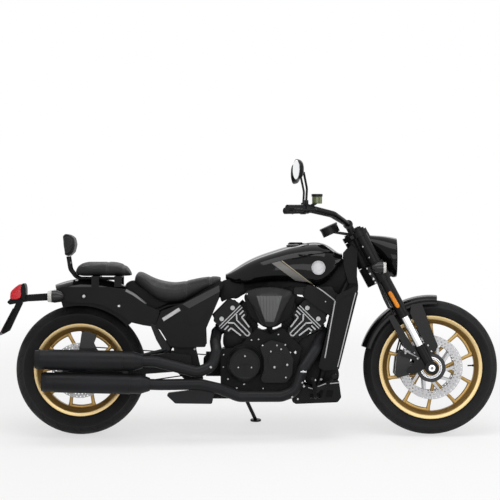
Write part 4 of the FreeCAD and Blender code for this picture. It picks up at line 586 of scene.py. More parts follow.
def brake_disc(name, hub, side, outer, place_y):
    """Disc on one side of a wheel: drilled band, ten arms and carrier ring."""
    low, high = place_y, place_y + 0.005
    parts = [drilled_band(outer - 0.040, outer, 3, 45, 0.0034, low, high),
             turned_shell([(0.0403, low - 0.001), (0.070, low - 0.001), (0.071, low), (0.071, high),
                           (0.070, high + 0.001), (0.0403, high + 0.001)])]
    head = [(0.0, low - 0.0015), (0.0065, low - 0.0015), (0.0075, low), (0.0075, high),
            (0.0065, high + 0.0015), (0.0, high + 0.0015)]
    button, button_faces = turned_shell(head, 12)
    for i in range(10):
        a = 2 * math.pi * i / 10
        start = 0.066 * np.array([math.cos(a - 0.22), math.sin(a - 0.22)])
        way = np.array([math.cos(a + 0.05), math.sin(a + 0.05)])
        parts.append(bar_between(start, (outer - 0.038) * way, 0.014, low + 0.0006, high - 0.0006, 0.8))
        x, z = (outer - 0.037) * way
        parts.append((button + np.array([x, 0, z]), button_faces))
    points, faces = together(parts)
    points[:, 1] *= side
    return sharpened(outward(mesh_piece(name, parked(points + np.array(hub)), faces)))


def disc_steel(name, hub, outer):
    """Ground steel band with its lathe lines, on a black carrier."""
    material, tree, shader, place, skin = start_finish(name, 500.0, 14.0, hub)
    radius = about_axle(tree, place)
    lines = wired(tree, "ShaderNodeTexNoise", noise_dimensions="1D", Scale=1500.0, Detail=2.0)
    tree.links.new(radius, lines.inputs["W"])
    band = between(tree, radius, 0.0725, outer + 0.01, 0.001)
    steel = colour_mix(tree, lines.outputs["Fac"], (0.30, 0.30, 0.31), (0.44, 0.44, 0.45))
    tree.links.new(colour_mix(tree, band, (0.008, 0.008, 0.0085), steel), shader.inputs["Base Color"])
    tree.links.new(value_mix(tree, band, 0.45, 0.34), shader.inputs["Roughness"])
    tree.links.new(value_mix(tree, band, 0.2, 0.55), shader.inputs["Metallic"])
    bump(tree, shader, lines.outputs["Fac"], 0.00015, 0.5)
    return material


front_disc_steel = disc_steel("front_disc_steel", HUBS["front"], 0.155)
for side, name in ((-1, "front_disc_right"), (1, "front_disc_left")):
    piece = brake_disc(name, HUBS["front"], side, 0.155, 0.070)
    piece.data.materials.append(front_disc_steel)
    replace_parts(piece, "front_discs")
    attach(piece, "front_wheel")
piece = brake_disc("rear_drilled_disc", HUBS["rear"], -1, 0.135, 0.112)
piece.data.materials.append(disc_steel("rear_disc_steel", HUBS["rear"], 0.135))
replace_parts(piece, "rear_disc")
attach(piece, "rear_wheel")

parts = [turned_shell([(0.0500, 0.0765), (0.0530, 0.0765), (0.0530, 0.0780), (0.0500, 0.0780)]),
         turned_shell([(0.0405, 0.0765), (0.0430, 0.0765), (0.0430, 0.0780), (0.0405, 0.0780)])]
for i in range(40):
    a = 2 * math.pi * i / 40
    flat = np.array([math.cos(a), math.sin(a)])
    parts.append(bar_between(0.0428 * flat, 0.0502 * flat, 0.0034, 0.0765, 0.0780))
points, faces = together(parts)
points[:, 1] *= -1
tone_ring = sharpened(outward(mesh_piece("sensor_ring", parked(points + np.array(HUBS["front"])), faces)))
bright_zinc = surface("bright_zinc", (0.70, 0.70, 0.71), (0.58, 0.58, 0.60), (0.2, 0.3), 0.0001, 0.85)
tone_ring.data.materials.append(bright_zinc)
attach(tone_ring, "front_wheel")


# Brake calipers: cast aluminium bodies under black enamel. The front pair is bolted behind the fork's
# feet, and the third sits over the rear disc.

caliper_black = surface("caliper_black", (0.009, 0.009, 0.0095), (0.015, 0.015, 0.0155), (0.32, 0.45),
                        0.0004, coat=0.1, grain=600.0, level=0.18)
dress("front_calipers", caliper_black)
dress("rear_caliper", caliper_black)


# Frame and swingarm: welded steel tube and box section under a baked satin black coat. The plate's arm,
# the side stand, the pegs and pedals and the damper are bolted to them.

frame_black = surface("frame_black", (0.0036, 0.0036, 0.004), (0.007, 0.007, 0.0075), (0.34, 0.48), 0.0002,
                      grain=1200.0, level=0.1)
for node in ("frame", "swingarm", "plate_bracket", "side_stand", "foot_controls"):
    dress(node, frame_black)
dress("shock", surface("shock_black", (0.010, 0.010, 0.011), (0.02, 0.02, 0.021), (0.28, 0.4), 0.0002,
                       level=0.14))


# Belt drive: a toothed rubber belt along the left side, round a pulley of hard coated aluminium that is
# screwed to the rear wheel.

dress("drive_belt", surface("belt_rubber", (0.010, 0.010, 0.010), (0.017, 0.017, 0.017), (0.6, 0.75),
                            0.0004, grain=700.0, level=0.1))
dress("rear_pulley", surface("pulley_coat", (0.05, 0.05, 0.052), (0.08, 0.08, 0.082), (0.35, 0.45), 0.0001,
                             0.6, level=0.25))


# Engine cases: cast aluminium in fine wrinkle black, with smoother castings screwed on as covers. The
# air cleaner's body sits in the V between the cylinders and is moulded plastic.

engine_black = surface("engine_black", (0.0035, 0.0035, 0.0037), (0.0065, 0.0065, 0.007), (0.42, 0.56),
                       0.0006, grain=800.0, level=0.1)
cover_black = surface("cover_black", (0.0045, 0.0045, 0.005), (0.009, 0.009, 0.0095), (0.3, 0.42), 0.0003,
                      grain=1000.0, level=0.12)
dress("crankcase", engine_black)
dress("engine_covers", cover_black)
dress("air_cleaner", surface("cleaner_black", (0.004, 0.004, 0.0045), (0.008, 0.008, 0.0085), (0.26, 0.38),
                             0.0002, grain=1100.0, level=0.12))


# Exhaust: bent steel pipes that end in two long mufflers on the right side, under one coat of heat
# proof satin charcoal.

exhaust_black = surface("exhaust_black", (0.008, 0.0082, 0.0092), (0.0135, 0.0138, 0.0155), (0.36, 0.5),
                        0.00015, grain=1600.0, patch=4.0, level=0.14)
dress("exhaust_pipes", exhaust_black)
dress("mufflers", exhaust_black)


# Small painted steel: the filler lid on the tank and the headlight's shell are pressed and sprayed in
# deep gloss black. The front mudguard, screwed between the fork's legs, is a little duller.

GLOSS_BLACKS = (0.0022, 0.0022, 0.0025), (0.0035, 0.0035, 0.004)
gloss_black = surface("gloss_black", *GLOSS_BLACKS, (0.05, 0.08), coat=0.12, level=0.1)
dress("filler_lid", gloss_black)
dress("headlight", gloss_black)
dress("front_fender", surface("fender_black", (0.003, 0.003, 0.0033), (0.005, 0.005, 0.0055), (0.14, 0.22),
                              0.0001, coat=0.08, level=0.1))


# Fork and bars: black anodised and powder coated aluminium and steel, clamped in two yokes. The tubes
# that slide in the outer ones are ground and hard chromed, and end in the feet with the axle.

fork_black = surface("fork_black", (0.0038, 0.0038, 0.0042), (0.007, 0.007, 0.0075), (0.3, 0.4), 0.0001,
                     grain=1500.0, level=0.14)
for node in ("yokes", "fork_tubes", "fork_feet", "handlebar", "bar_controls", "mirrors", "instrument"):
    dress(node, fork_black)
dress("fork_sliders", surface("hard_chrome", (0.80, 0.80, 0.81), (0.74, 0.74, 0.75), (0.08, 0.12),
                              metallic=0.95))
dress("front_axle", bright_zinc)


# Seats: moulded foam under sewn leather. The rider's is a deep bucket, the passenger's a flat pad, and
# a small backrest stands on a tube behind it.

def axes_of(tree, place):
    """A place's X, Y and Z."""
    parts = wired(tree, "ShaderNodeSeparateXYZ")
    tree.links.new(place, parts.inputs[0])
    return parts.outputs


def joined(tree, operation, shares):
    """One share from several: the largest or the smallest of them, two at a time."""
    total = shares[0]
    for share in shares[1:]:
        total = maths(tree, operation, total, share)
    return total


def leather(name, seams):
    """Sewn leather: pebbled grain from cells and noise. Beside each cross seam run two pale threads,
    shown where a wave along them is high."""
    material, tree, shader, place, skin = start_finish(name, 1100.0, 10.0)
    cells = wired(tree, "ShaderNodeTexVoronoi", Scale=420.0, feature="DISTANCE_TO_EDGE")
    tree.links.new(place, cells.inputs["Vector"])
    creases = ramp(tree, cells.outputs["Distance"], 0.0, 0.16)
    tone = colour_mix(tree, skin.outputs["Tone"], (0.0075, 0.0075, 0.008), (0.013, 0.013, 0.0135))
    if seams:
        axes = axes_of(tree, place)
        lines = [seam + side for seam in seams for side in (-0.0045, 0.0045)]
        threads = [between(tree, axes["X"], line - 0.0006, line + 0.0006, 0.0003) for line in lines]
        stitch = maths(tree, "GREATER_THAN", waves(tree, axes["Y"], 2 * math.pi / 0.007), -0.3)
        shown = maths(tree, "MULTIPLY", joined(tree, "MAXIMUM", threads), stitch)
        tone = colour_mix(tree, shown, tone, (0.05, 0.05, 0.052))
    tree.links.new(tone, shader.inputs["Base Color"])
    tree.links.new(value_mix(tree, skin.outputs["Tone"], 0.42, 0.55), shader.inputs["Roughness"])
    shader.inputs["Specular IOR Level"].default_value = 0.22
    bump(tree, shader, maths(tree, "MULTIPLY_ADD", skin.outputs["Height"], 0.3, creases), 0.0004)
    return material


def own_copy(name, node):
    """Welded copy of a node's mesh as a new piece."""
    piece = bpy.data.objects.new(name, nodes[node].data.copy())
    piece.data.materials.clear()
    bpy.context.scene.collection.objects.link(piece)
    shape = bmesh.new()
    shape.from_mesh(piece.data)
    bmesh.ops.remove_doubles(shape, verts=shape.verts, dist=1e-5)
    shape.to_mesh(piece.data)
    shape.free()
    return piece


def finished(piece):
    """Every modifier of a piece made part of its mesh."""
    graph = bpy.context.evaluated_depsgraph_get()
    mesh = bpy.data.meshes.new_from_object(piece.evaluated_get(graph))
    piece.modifiers.clear()
    piece.data = mesh
    return piece


def corners_of(piece):
    """Places of a mesh's points as rows."""
    points = np.empty(3 * len(piece.data.vertices))
    piece.data.vertices.foreach_get("co", points)
    return points.reshape(-1, 3)


def normals_of(piece):
    """Directions of a mesh's points as rows."""
    ways = np.empty(3 * len(piece.data.vertices))
    piece.data.vertices.foreach_get("normal", ways)
    return ways.reshape(-1, 3)


def upright(points):
    """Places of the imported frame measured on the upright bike."""
    p = np.asarray(points, float) - SHIFT
    c, s = math.cos(LEAN), math.sin(LEAN)
    return np.stack([p[..., 0], p[..., 1] * c - p[..., 2] * s, p[..., 1] * s + p[..., 2] * c], axis=-1)


UP = turned_with_bike((0.0, 0.0, 1.0))


def swollen(piece, cap, voxel, inset=0.003):
    """Foam that fills its cover: the shape drawn in along its normals, remeshed, blown up as cloth and
    kept within a cap of where it began; points that face down stay put."""
    remesh = piece.modifiers.new("remesh", "REMESH")
    remesh.mode = "VOXEL"
    remesh.voxel_size = voxel
    finished(piece)
    rest = corners_of(piece)
    free = np.clip(0.55 + UP @ normals_of(piece).T, 0, 1)
    start = rest - normals_of(piece) * inset * free[:, None]
    piece.data.vertices.foreach_set("co", start.ravel())
    held = piece.vertex_groups.new(name="held")
    held.add([int(i) for i in np.flatnonzero(free < 0.05)], 1.0, "REPLACE")
    cloth = piece.modifiers.new("cloth", "CLOTH")
    cloth.settings.vertex_group_mass = "held"
    cloth.settings.use_pressure = True
    cloth.settings.uniform_pressure_force = 4.0
    cloth.settings.effector_weights.gravity = 0.0
    cloth.settings.quality = 5
    for frame_number in range(1, 21):
        bpy.context.scene.frame_set(frame_number)
    finished(piece)
    bpy.context.scene.frame_set(1)
    moved = corners_of(piece) - start
    length = np.maximum(np.linalg.norm(moved, axis=1, keepdims=True), 1e-9)
    placed = start + moved / length * np.minimum(length, cap)
    piece.data.vertices.foreach_set("co", (start + (placed - start) * free[:, None]).ravel())
    piece.vertex_groups.clear()
    return piece


def sewn(piece, seams, depth=0.0025, reach=0.006):
    """Channels pulled in across a pad: points near each X place go in along their normals, by a bell
    of the distance from it, and only where they face up."""
    if len(piece.data.vertices) < 30000:
        smooth = piece.modifiers.new("smooth", "SUBSURF")
        smooth.levels = smooth.render_levels = 1
        finished(piece)
    points, ways = corners_of(piece), normals_of(piece)
    x = upright(points)[:, 0]
    up = np.clip(2.0 * (ways @ UP), 0, 1)
    pull = sum(np.exp(-((x - seam) / reach) ** 2) for seam in seams)
    piece.data.vertices.foreach_set("co", (points - ways * (depth * pull * up)[:, None]).ravel())
    piece.data.shade_smooth()
    return piece


for name, node, seams, cap, voxel in (("rider_cushion", "rider_seat", (0.520, 0.640), 0.006, 0.006),
                                      ("pillion_cushion", "pillion_seat", (0.135, 0.215), 0.006, 0.006),
                                      ("backrest_pad", "backrest", (), 0.004, 0.004)):
    pad = own_copy(name, node)
    swollen(pad, cap, voxel)
    sewn(pad, seams)
    pad.data.shade_smooth()
    pad.data.materials.append(leather(name + "_leather", seams))
    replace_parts(pad, node)
    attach(pad, "chassis")


# Covers of the engine's V: moulded black panels that close the gaps under the tank, round the intake
# and over the valley between the cylinders, clipped to the crankcase and the tank's underside.

def seen_at(pairs, y):
    """Places at a lateral place behind points (x, z) of the bike's middle plane, on the camera's lines."""
    p = np.asarray(pairs, float)
    share = (CAMERA_AWAY + y) / CAMERA_AWAY
    return np.stack([CAMERA_X + (p[:, 0] - CAMERA_X) * share, np.full(len(p), float(y)),
                     CAMERA_Z + (p[:, 1] - CAMERA_Z) * share], -1)


def eased(points):
    """Closed outline with its corners cut three times: each side keeps its middle half."""
    p = np.asarray(points, float)
    for cut in range(3):
        ahead = np.roll(p, -1, axis=0)
        p = np.stack([0.75 * p + 0.25 * ahead, 0.25 * p + 0.75 * ahead], 1).reshape(-1, 3)
    return p


def panel(name, rings, material, body="chassis"):
    """Closed slab through rings of equal count: a grid from ring to ring with both ends capped."""
    count = len(rings[0])
    points = np.concatenate(rings)
    faces = grid_faces(len(rings), count, False, True).tolist()
    faces += [list(range(count))[::-1], [len(points) - count + i for i in range(count)]]
    piece = sharpened(outward(mesh_piece(name, parked(points), faces)), 30.0)
    piece.data.materials.append(material)
    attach(piece, body)
    return piece


def drawn_in(ring, by, y):
    """Ring moved toward its middle by a length, at another lateral place."""
    middle = ring.mean(axis=0)
    away = ring - middle
    reach = np.linalg.norm(away[:, [0, 2]], axis=1, keepdims=True)
    inner = ring - away / np.maximum(reach, 1e-6) * by
    inner[:, 1] = y
    return inner


def soft_slab(outline, near, far, edge=0.004):
    """Rings of a slab with rounded edges between two lateral places."""
    ring = eased(seen_at(outline, near))
    steps = ((edge, near), (0.3 * edge, near + 0.3 * edge), (0.0, near + edge), (0.0, far - edge),
             (edge, far))
    return [drawn_in(ring, by, y) for by, y in steps]


panel_black = surface("panel_black", (0.0038, 0.0038, 0.0042), (0.007, 0.007, 0.0075), (0.38, 0.52), 0.0003,
                      grain=1300.0, level=0.1)
rear_fill = [(0.690, 0.767), (0.803, 0.765), (0.930, 0.772), (0.930, 0.732), (0.820, 0.722), (0.816, 0.696),
             (0.796, 0.687), (0.768, 0.667), (0.746, 0.672), (0.713, 0.663), (0.690, 0.649), (0.684, 0.705)]
top_fill = [(0.790, 0.790), (1.087, 0.780), (1.150, 0.756), (1.150, 0.700), (1.035, 0.700), (0.926, 0.705),
            (0.880, 0.700), (0.805, 0.682)]
corner_fill = [(1.020, 0.740), (1.064, 0.715), (1.064, 0.676), (1.135, 0.676), (1.135, 0.636),
               (1.020, 0.636)]
fin_fill = [(0.800, 0.655), (0.822, 0.643), (0.848, 0.590), (0.882, 0.562), (0.868, 0.545), (0.876, 0.515),
            (0.820, 0.515), (0.790, 0.587)]
V_MIDDLE = 0.93065
fin_fill_front = [(2 * V_MIDDLE - x, z) for x, z in reversed(fin_fill)]
base_fill = [(0.916, 0.570), (0.946, 0.570), (0.946, 0.495), (0.916, 0.495)]
front_fill = [(1.085, 0.470), (1.112, 0.480), (1.150, 0.500), (1.195, 0.520), (1.200, 0.384),
              (1.160, 0.325), (1.085, 0.240), (1.045, 0.320), (1.060, 0.420)]
rear_fill_low = [(0.700, 0.505), (0.730, 0.520), (0.775, 0.525), (0.815, 0.475), (0.790, 0.415),
                 (0.700, 0.415)]
foot_fill = [(1.090, 0.250), (1.140, 0.345), (1.190, 0.375), (1.270, 0.345), (1.278, 0.255), (1.190, 0.240)]
neck_fill = [(1.150, 0.745), (1.215, 0.815), (1.275, 0.850), (1.320, 0.875), (1.350, 0.874), (1.359, 0.800),
             (1.374, 0.715), (1.350, 0.668), (1.275, 0.660), (1.215, 0.680), (1.160, 0.700)]
intake = [(0.800, 0.700), (0.930, 0.705), (1.060, 0.700), (1.052, 0.640), (1.030, 0.575), (0.990, 0.548),
          (0.965, 0.530), (0.930, 0.524), (0.899, 0.530), (0.876, 0.548), (0.836, 0.575), (0.812, 0.640)]
valley = [(0.860, 0.529), (0.883, 0.515), (0.907, 0.513), (0.926, 0.522), (0.945, 0.513), (0.969, 0.517),
          (0.995, 0.533), (1.025, 0.502), (0.931, 0.450), (0.836, 0.502)]
for name, outline, near, far in (("intake_shell", intake, -0.118, 0.060),
                                 ("valley_cover", valley, -0.072, 0.072)):
    panel(name, soft_slab(outline, near, far), panel_black)
for name, outline, near in (("rear_frame_panel", rear_fill, -0.048), ("under_tank_panel", top_fill, -0.048),
                            ("corner_plate", corner_fill, -0.050), ("fin_screen_rear", fin_fill, -0.066),
                            ("fin_screen_front", fin_fill_front, -0.066),
                            ("cleaner_foot", base_fill, -0.072), ("front_mount_plate", front_fill, -0.074),
                            ("header_screen", rear_fill_low, -0.074),
                            ("foot_screen", foot_fill, -0.078), ("neck_panel", neck_fill, -0.043)):
    for side, mirror in (("right", 1.0), ("left", -1.0)):
        rings = soft_slab(outline, near, near + 0.010)
        panel(name + "_" + side, [ring * np.array([1.0, mirror, 1.0]) for ring in rings], panel_black)


# Air cleaner cover: a moulded wedge whose sides fall away from a raised, fluted middle. The middle's
# lighter satin grey is a painted highlight of the light on that raised face. It is screwed over the intake.

def along(tree, place, way):
    """Distance of a place along a direction."""
    reach = wired(tree, "ShaderNodeVectorMath", operation="DOT_PRODUCT")
    reach.inputs[1].default_value = way
    tree.links.new(place, reach.inputs[0])
    return reach.outputs["Value"]


def inside(tree, place, corners, soft=0.001):
    """One within a convex outline given in side view, anticlockwise: nought beyond any of its sides."""
    p = np.asarray(corners, float)
    shares = []
    for a, b in zip(p, np.roll(p, -1, axis=0)):
        run = (b - a) / np.linalg.norm(b - a)
        level = float(-run[1] * a[0] + run[0] * a[1])
        shares.append(ramp(tree, along(tree, place, (-run[1], 0.0, run[0])), level - soft / 2,
                           level + soft / 2))
    return joined(tree, "MINIMUM", shares)


def resampled(points, count):
    """Closed outline at equal steps along its length."""
    p = np.vstack([points, points[:1]])
    travelled = np.concatenate([[0], np.cumsum(np.linalg.norm(np.diff(p, axis=0), axis=1))])
    t = np.linspace(0, travelled[-1], count, endpoint=False)
    return np.stack([np.interp(t, travelled, p[:, i]) for i in range(p.shape[1])], -1)


wedge = [(0.805, 0.705), (0.865, 0.723), (0.932, 0.729), (0.992, 0.722), (1.046, 0.706), (1.003, 0.632),
         (0.962, 0.534), (0.900, 0.534), (0.852, 0.632)]
raised = [(0.862, 0.672), (0.880, 0.687), (0.928, 0.690), (0.976, 0.687), (0.994, 0.672), (0.976, 0.620),
          (0.953, 0.562), (0.905, 0.562), (0.882, 0.620)]
rim = resampled(eased(np.array([(x, -0.172, z) for x, z in wedge])), 144)
ridge = resampled(eased(np.array([(x, -0.192, z) for x, z in raised])), 144)
rings = [drawn_in(rim, 0.004, -0.140), drawn_in(rim, 0.0, -0.146), drawn_in(rim, -0.0015, -0.172),
         drawn_in(rim, 0.003, -0.1795)]
for share, lift in ((0.35, 0.30), (0.7, 0.62), (0.92, 0.88), (1.0, 1.0)):
    ring = rings[3] * (1 - share) + ridge * share
    ring[:, 1] = -0.1795 - lift * 0.0145
    rings.append(ring)
rings.append(drawn_in(ridge, 0.006, -0.1965))
material, tree, shader, place, skin = start_finish("cleaner_satin_painted_highlight", 1100.0, 8.0)
# The lighter grey given to the raised middle here is a painted highlight, not a colour of the moulding.
middle = inside(tree, place, [(0.909, 0.560), (0.951, 0.560), (0.990, 0.686), (0.866, 0.686)], 0.004)
black = colour_mix(tree, skin.outputs["Tone"], (0.007, 0.007, 0.0075), (0.012, 0.012, 0.0125))
tree.links.new(colour_mix(tree, middle, black, (0.095, 0.095, 0.097)), shader.inputs["Base Color"])
shader.inputs["Roughness"].default_value = 0.34
shader.inputs["Specular IOR Level"].default_value = 0.25
flutes = waves(tree, axes_of(tree, place)["X"], 2 * math.pi / 0.0155)
bump(tree, shader, maths(tree, "MULTIPLY", flutes, middle), 0.0012)
panel("cleaner_cover", rings, material)


# Cylinder side covers: black castings whose ribs are ground bright on their faces. The long flange
# bar carries a dark groove between two bright lands.

CRANK_X, CRANK_Z = 0.932, 0.389
V_HALF = math.radians(45)
for node, sign in (("front_cylinder", 1), ("rear_cylinder", -1)):
    material, tree, shader, place, skin = start_finish(node + "_ribs", 800.0, 9.0)
    shader.inputs["Specular IOR Level"].default_value = 0.15
    ground = between(tree, axes_of(tree, place)["Y"], -0.2, -0.0905, 0.0006)
    up = along(tree, place, (sign * math.sin(V_HALF), 0.0, math.cos(V_HALF)))
    height = maths(tree, "SUBTRACT", up, (sign * CRANK_X + CRANK_Z) * math.cos(V_HALF))
    groove = between(tree, height, 0.2690, 0.2762, 0.0006)
    kept = maths(tree, "SUBTRACT", ground, groove, clamp=True)
    black = colour_mix(tree, skin.outputs["Tone"], (0.005, 0.005, 0.0055), (0.010, 0.010, 0.0105))
    tree.links.new(colour_mix(tree, kept, black, (0.33, 0.33, 0.335)), shader.inputs["Base Color"])
    tree.links.new(value_mix(tree, kept, 0.5, 0.36), shader.inputs["Roughness"])
    tree.links.new(value_mix(tree, kept, 0.0, 0.5), shader.inputs["Metallic"])
    bump(tree, shader, skin.outputs["Height"], 0.0004)
    dress(node, material)


# Clutch cover: a round casting in smooth black over the primary drive, with a turned step round its
# face and a bar cast across it.

points, faces = turned_shell([(0.0655, -0.1745), (0.0675, -0.1762), (0.0735, -0.1762), (0.0755, -0.1700),
                              (0.0790, -0.1640), (0.0640, -0.1640)])
piece = sharpened(outward(mesh_piece("clutch_cover_step", parked(points + np.array([0.809, 0.0, 0.353])),
                                     faces)))
piece.data.materials.append(cover_black)
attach(piece, "chassis")
bar, faces = swept_bar([(-0.030, 0.010), (-0.026, 0.010), (0.026, 0.010), (0.030, 0.010)],
                       [(0.0004, 0.0010), (0.0016, 0.0016), (0.0016, 0.0016), (0.0004, 0.0010)], 16)
piece = sharpened(outward(mesh_piece("clutch_cover_bar", parked(bar + np.array([0.811, -0.1745, 0.345])),
                                     faces)))
piece.data.materials.append(cover_black)
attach(piece, "chassis")


# Bright screws: zinc plated button heads with a socket. Each stands on the first surface behind its
# place in the side view, square to it, and has a twin on the left where there is a surface too.

def striker(body):
    """Search tree of all the meshes that ride on a body in the CAD, for finding surfaces."""
    points, faces, base = [], [], 0
    for node in frame["record"]["behaviour"]["bodies"][body]:
        mesh = nodes[node].data
        co = np.empty(3 * len(mesh.vertices))
        mesh.vertices.foreach_get("co", co)
        mesh.calc_loop_triangles()
        tri = np.empty(3 * len(mesh.loop_triangles), dtype=np.int32)
        mesh.loop_triangles.foreach_get("vertices", tri)
        points.append(co.reshape(-1, 3))
        faces.append(tri.reshape(-1, 3) + base)
        base += len(mesh.vertices)
    return BVHTree.FromPolygons(np.concatenate(points).tolist(), np.concatenate(faces).tolist())


def surface_behind(tree, x, z, side=-1):
    """Place and outward direction where the sight line through (x, z) of the middle plane first meets
    a surface, from the right, or the mirrored line from the left."""
    start = np.array([CAMERA_X, CAMERA_AWAY * side, CAMERA_Z])
    aim = np.array([x, 0.0, z])
    way = (aim - start) / np.linalg.norm(aim - start)
    place, normal, _, _ = tree.ray_cast(parked(start).tolist(), turned_with_bike(way).tolist(), 13.0)
    if place is None:
        return None, None
    normal = np.array(normal)
    if normal @ turned_with_bike(way) > 0:
        normal = -normal
    return np.array(place), normal


def standing(points, place, normal):
    """Points of a shape whose axis is Z, carried to a place with that axis along a direction."""
    n = normal / np.linalg.norm(normal)
    a = np.cross(n, [0.3, 0.2, 0.9])
    a /= np.linalg.norm(a)
    return place + np.asarray(points, float) @ np.array([a, np.cross(n, a), n])


def button_head(radius):
    """Button head screw: a domed turning round Z with a socket, sunk a little in its seat."""
    profile = np.array([(0.0, 0.30), (0.46, 0.30), (0.50, 0.78), (0.72, 0.72), (0.92, 0.46), (1.0, 0.12),
                        (1.0, -0.5), (0.0, -0.5)])
    return turned_shell(profile * radius, 18, (0, 1, 2))


def screws(name, body, rows, material):
    """Screw heads at rows of (x, z, radius) in the side view, on both sides, as one piece."""
    tree, parts = striker(body), []
    for x, z, radius in rows:
        for side in (-1, 1):
            place, normal = surface_behind(tree, x, z, side)
            if place is None or abs(upright(place)[1]) < 0.015:
                continue
            across = turned_with_bike(np.array([0.0, float(side), 0.0]))
            if normal @ across < 0.6:
                normal = across
            points, faces = button_head(0.82 * radius)
            parts.append((standing(points, place, normal), faces))
    points, faces = together(parts)
    piece = sharpened(outward(mesh_piece(name, points, faces)), 40.0)
    piece.data.materials.append(material)
    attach(piece, body)
    return piece


case_screws = [
    (0.7928, 0.4679, 0.006), (0.8413, 0.4645, 0.006), (0.8764, 0.4679, 0.006), (0.8961, 0.4380, 0.006),
    (0.9370, 0.4078, 0.006), (0.9672, 0.4380, 0.006), (0.9881, 0.4191, 0.006), (1.0085, 0.4411, 0.006),
    (0.9744, 0.4921, 0.006), (0.9101, 0.5111, 0.006), (0.9321, 0.5005, 0.007), (1.0331, 0.4021, 0.006),
    (1.0577, 0.4029, 0.011), (1.0948, 0.3862, 0.006), (0.8091, 0.3847, 0.006), (0.7762, 0.3291, 0.005),
    (0.8413, 0.3291, 0.005), (0.9548, 0.3298, 0.0085), (1.0183, 0.3416, 0.008), (1.0115, 0.2791, 0.006),
    (0.8046, 0.2481, 0.008), (0.7686, 0.2281, 0.006), (0.8988, 0.2262, 0.005), (0.7250, 0.2720, 0.006),
    (0.7020, 0.3310, 0.005), (0.7040, 0.3920, 0.005)]
screw_steel = surface("screw_steel", (0.46, 0.46, 0.47), (0.36, 0.36, 0.37), (0.28, 0.4), 0.0001, 0.85)
screws("case_screws", "chassis", case_screws, screw_steel)
body_screws = [
    (0.7561, 0.6953, 0.005), (0.8193, 0.6927, 0.006), (1.0425, 0.6896, 0.006), (1.2071, 0.6545, 0.005),
    (1.0966, 0.3083, 0.009), (1.0929, 0.2545, 0.007), (1.1004, 0.2356, 0.008), (1.1560, 0.2670, 0.007),
    (1.1848, 0.2697, 0.009), (1.2272, 0.2754, 0.009), (1.2801, 0.3083, 0.007), (1.0425, 0.1827, 0.007),
    (1.0702, 0.1732, 0.007), (0.0122, 0.6804, 0.011), (0.1859, 0.6332, 0.010), (0.640, 0.330, 0.008),
    (0.560, 0.420, 0.007), (0.300, 0.700, 0.007)]
screws("body_screws", "chassis", body_screws, screw_steel)
fork_screws = [
    (1.348, 0.950, 0.009), (1.392, 0.926, 0.006), (1.423, 0.872, 0.005), (1.413, 0.818, 0.006),
    (1.428, 0.792, 0.008), (1.445, 0.767, 0.009), (1.455, 0.749, 0.008), (1.602, 0.400, 0.007),
    (1.647, 0.401, 0.007), (1.663, 0.373, 0.007), (1.714, 0.438, 0.007), (1.731, 0.409, 0.007),
    (1.628, 0.350, 0.006)]
screws("fork_screws", "steering", fork_screws, screw_steel)


# Tank: pressed steel under gloss black, with a grey stripe and a thin bronze line that runs on down
# the panels. A plain turned badge plate stands on each side.

def patch(corners):
    """Mark within a convex outline in side view."""
    return lambda tree, place: inside(tree, place, corners)


def stripe(points, half):
    """Mark within a half width of a line of straight runs in side view, each run a block of its own
    that passes its ends by half of that width."""
    def mark(tree, place):
        """The largest of the runs' shares."""
        p = np.asarray(points, float)
        blocks = []
        for a, b in zip(p[:-1], p[1:]):
            run = (b - a) / np.linalg.norm(b - a) * half * 0.5
            out = np.array([-run[1], run[0]]) * 2
            blocks.append(inside(tree, place, [a - out - run, b - out + run, b + out + run, a + out - run],
                                 0.0008))
        return joined(tree, "MAXIMUM", blocks)
    return mark


LONG_LINE = [(0.990, 0.857), (1.118, 0.758), (1.192, 0.708), (1.246, 0.666), (1.249, 0.658), (1.200, 0.384)]
wide_stripe = patch([(1.056, 0.760), (1.122, 0.752), (0.981, 0.856), (0.940, 0.845)])
dress("fuel_tank", surface("tank_paint", *GLOSS_BLACKS, (0.06, 0.09), coat=0.12, level=0.14,
                           marks=[(wide_stripe, (0.17, 0.165, 0.155), 0.32),
                                  (stripe(LONG_LINE, 0.0022), (0.34, 0.30, 0.21), 0.3)]))

badge = [(0.0, 0.0046), (0.0150, 0.0044), (0.0160, 0.0036), (0.0240, 0.0034), (0.0250, 0.0044),
         (0.0285, 0.0044), (0.0295, 0.0034), (0.0305, 0.0050), (0.0335, 0.0050), (0.0345, 0.0038),
         (0.0345, -0.014), (0.0, -0.014)]
plate, plate_faces = turned_shell(badge, 72, (0, 1, 2))
badge_silver = surface("badge_silver", (0.36, 0.36, 0.37), (0.30, 0.30, 0.31), (0.34, 0.42), 0.0001, 0.7)
chassis_skin = striker("chassis")
for side, name in ((-1, "tank_badge_right"), (1, "tank_badge_left")):
    place, normal = surface_behind(chassis_skin, 1.172, 0.822, side)
    piece = sharpened(outward(mesh_piece(name, standing(plate, place, normal), plate_faces)))
    piece.data.materials.append(badge_silver)
    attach(piece, "chassis")


# Moulded covers: satin black panels. The tank's thin line goes on along the rear edge of the radiator's
# side panels, whose front edge is bright, and the covers below the seat carry a bright pill and a strip.
# The belly pan's two slots are painted shade in near black.

def pan_slot_shade(tree, place):
    """Painted shade of the two slots in the belly pan: two leaning blocks side by side."""
    slots = []
    for x in (1.150, 1.200):
        corners = [(x + 0.003, 0.192), (x + 0.033, 0.192), (x + 0.041, 0.224), (x + 0.010, 0.224)]
        slots.append(inside(tree, place, corners, 0.003))
    return joined(tree, "MAXIMUM", slots)


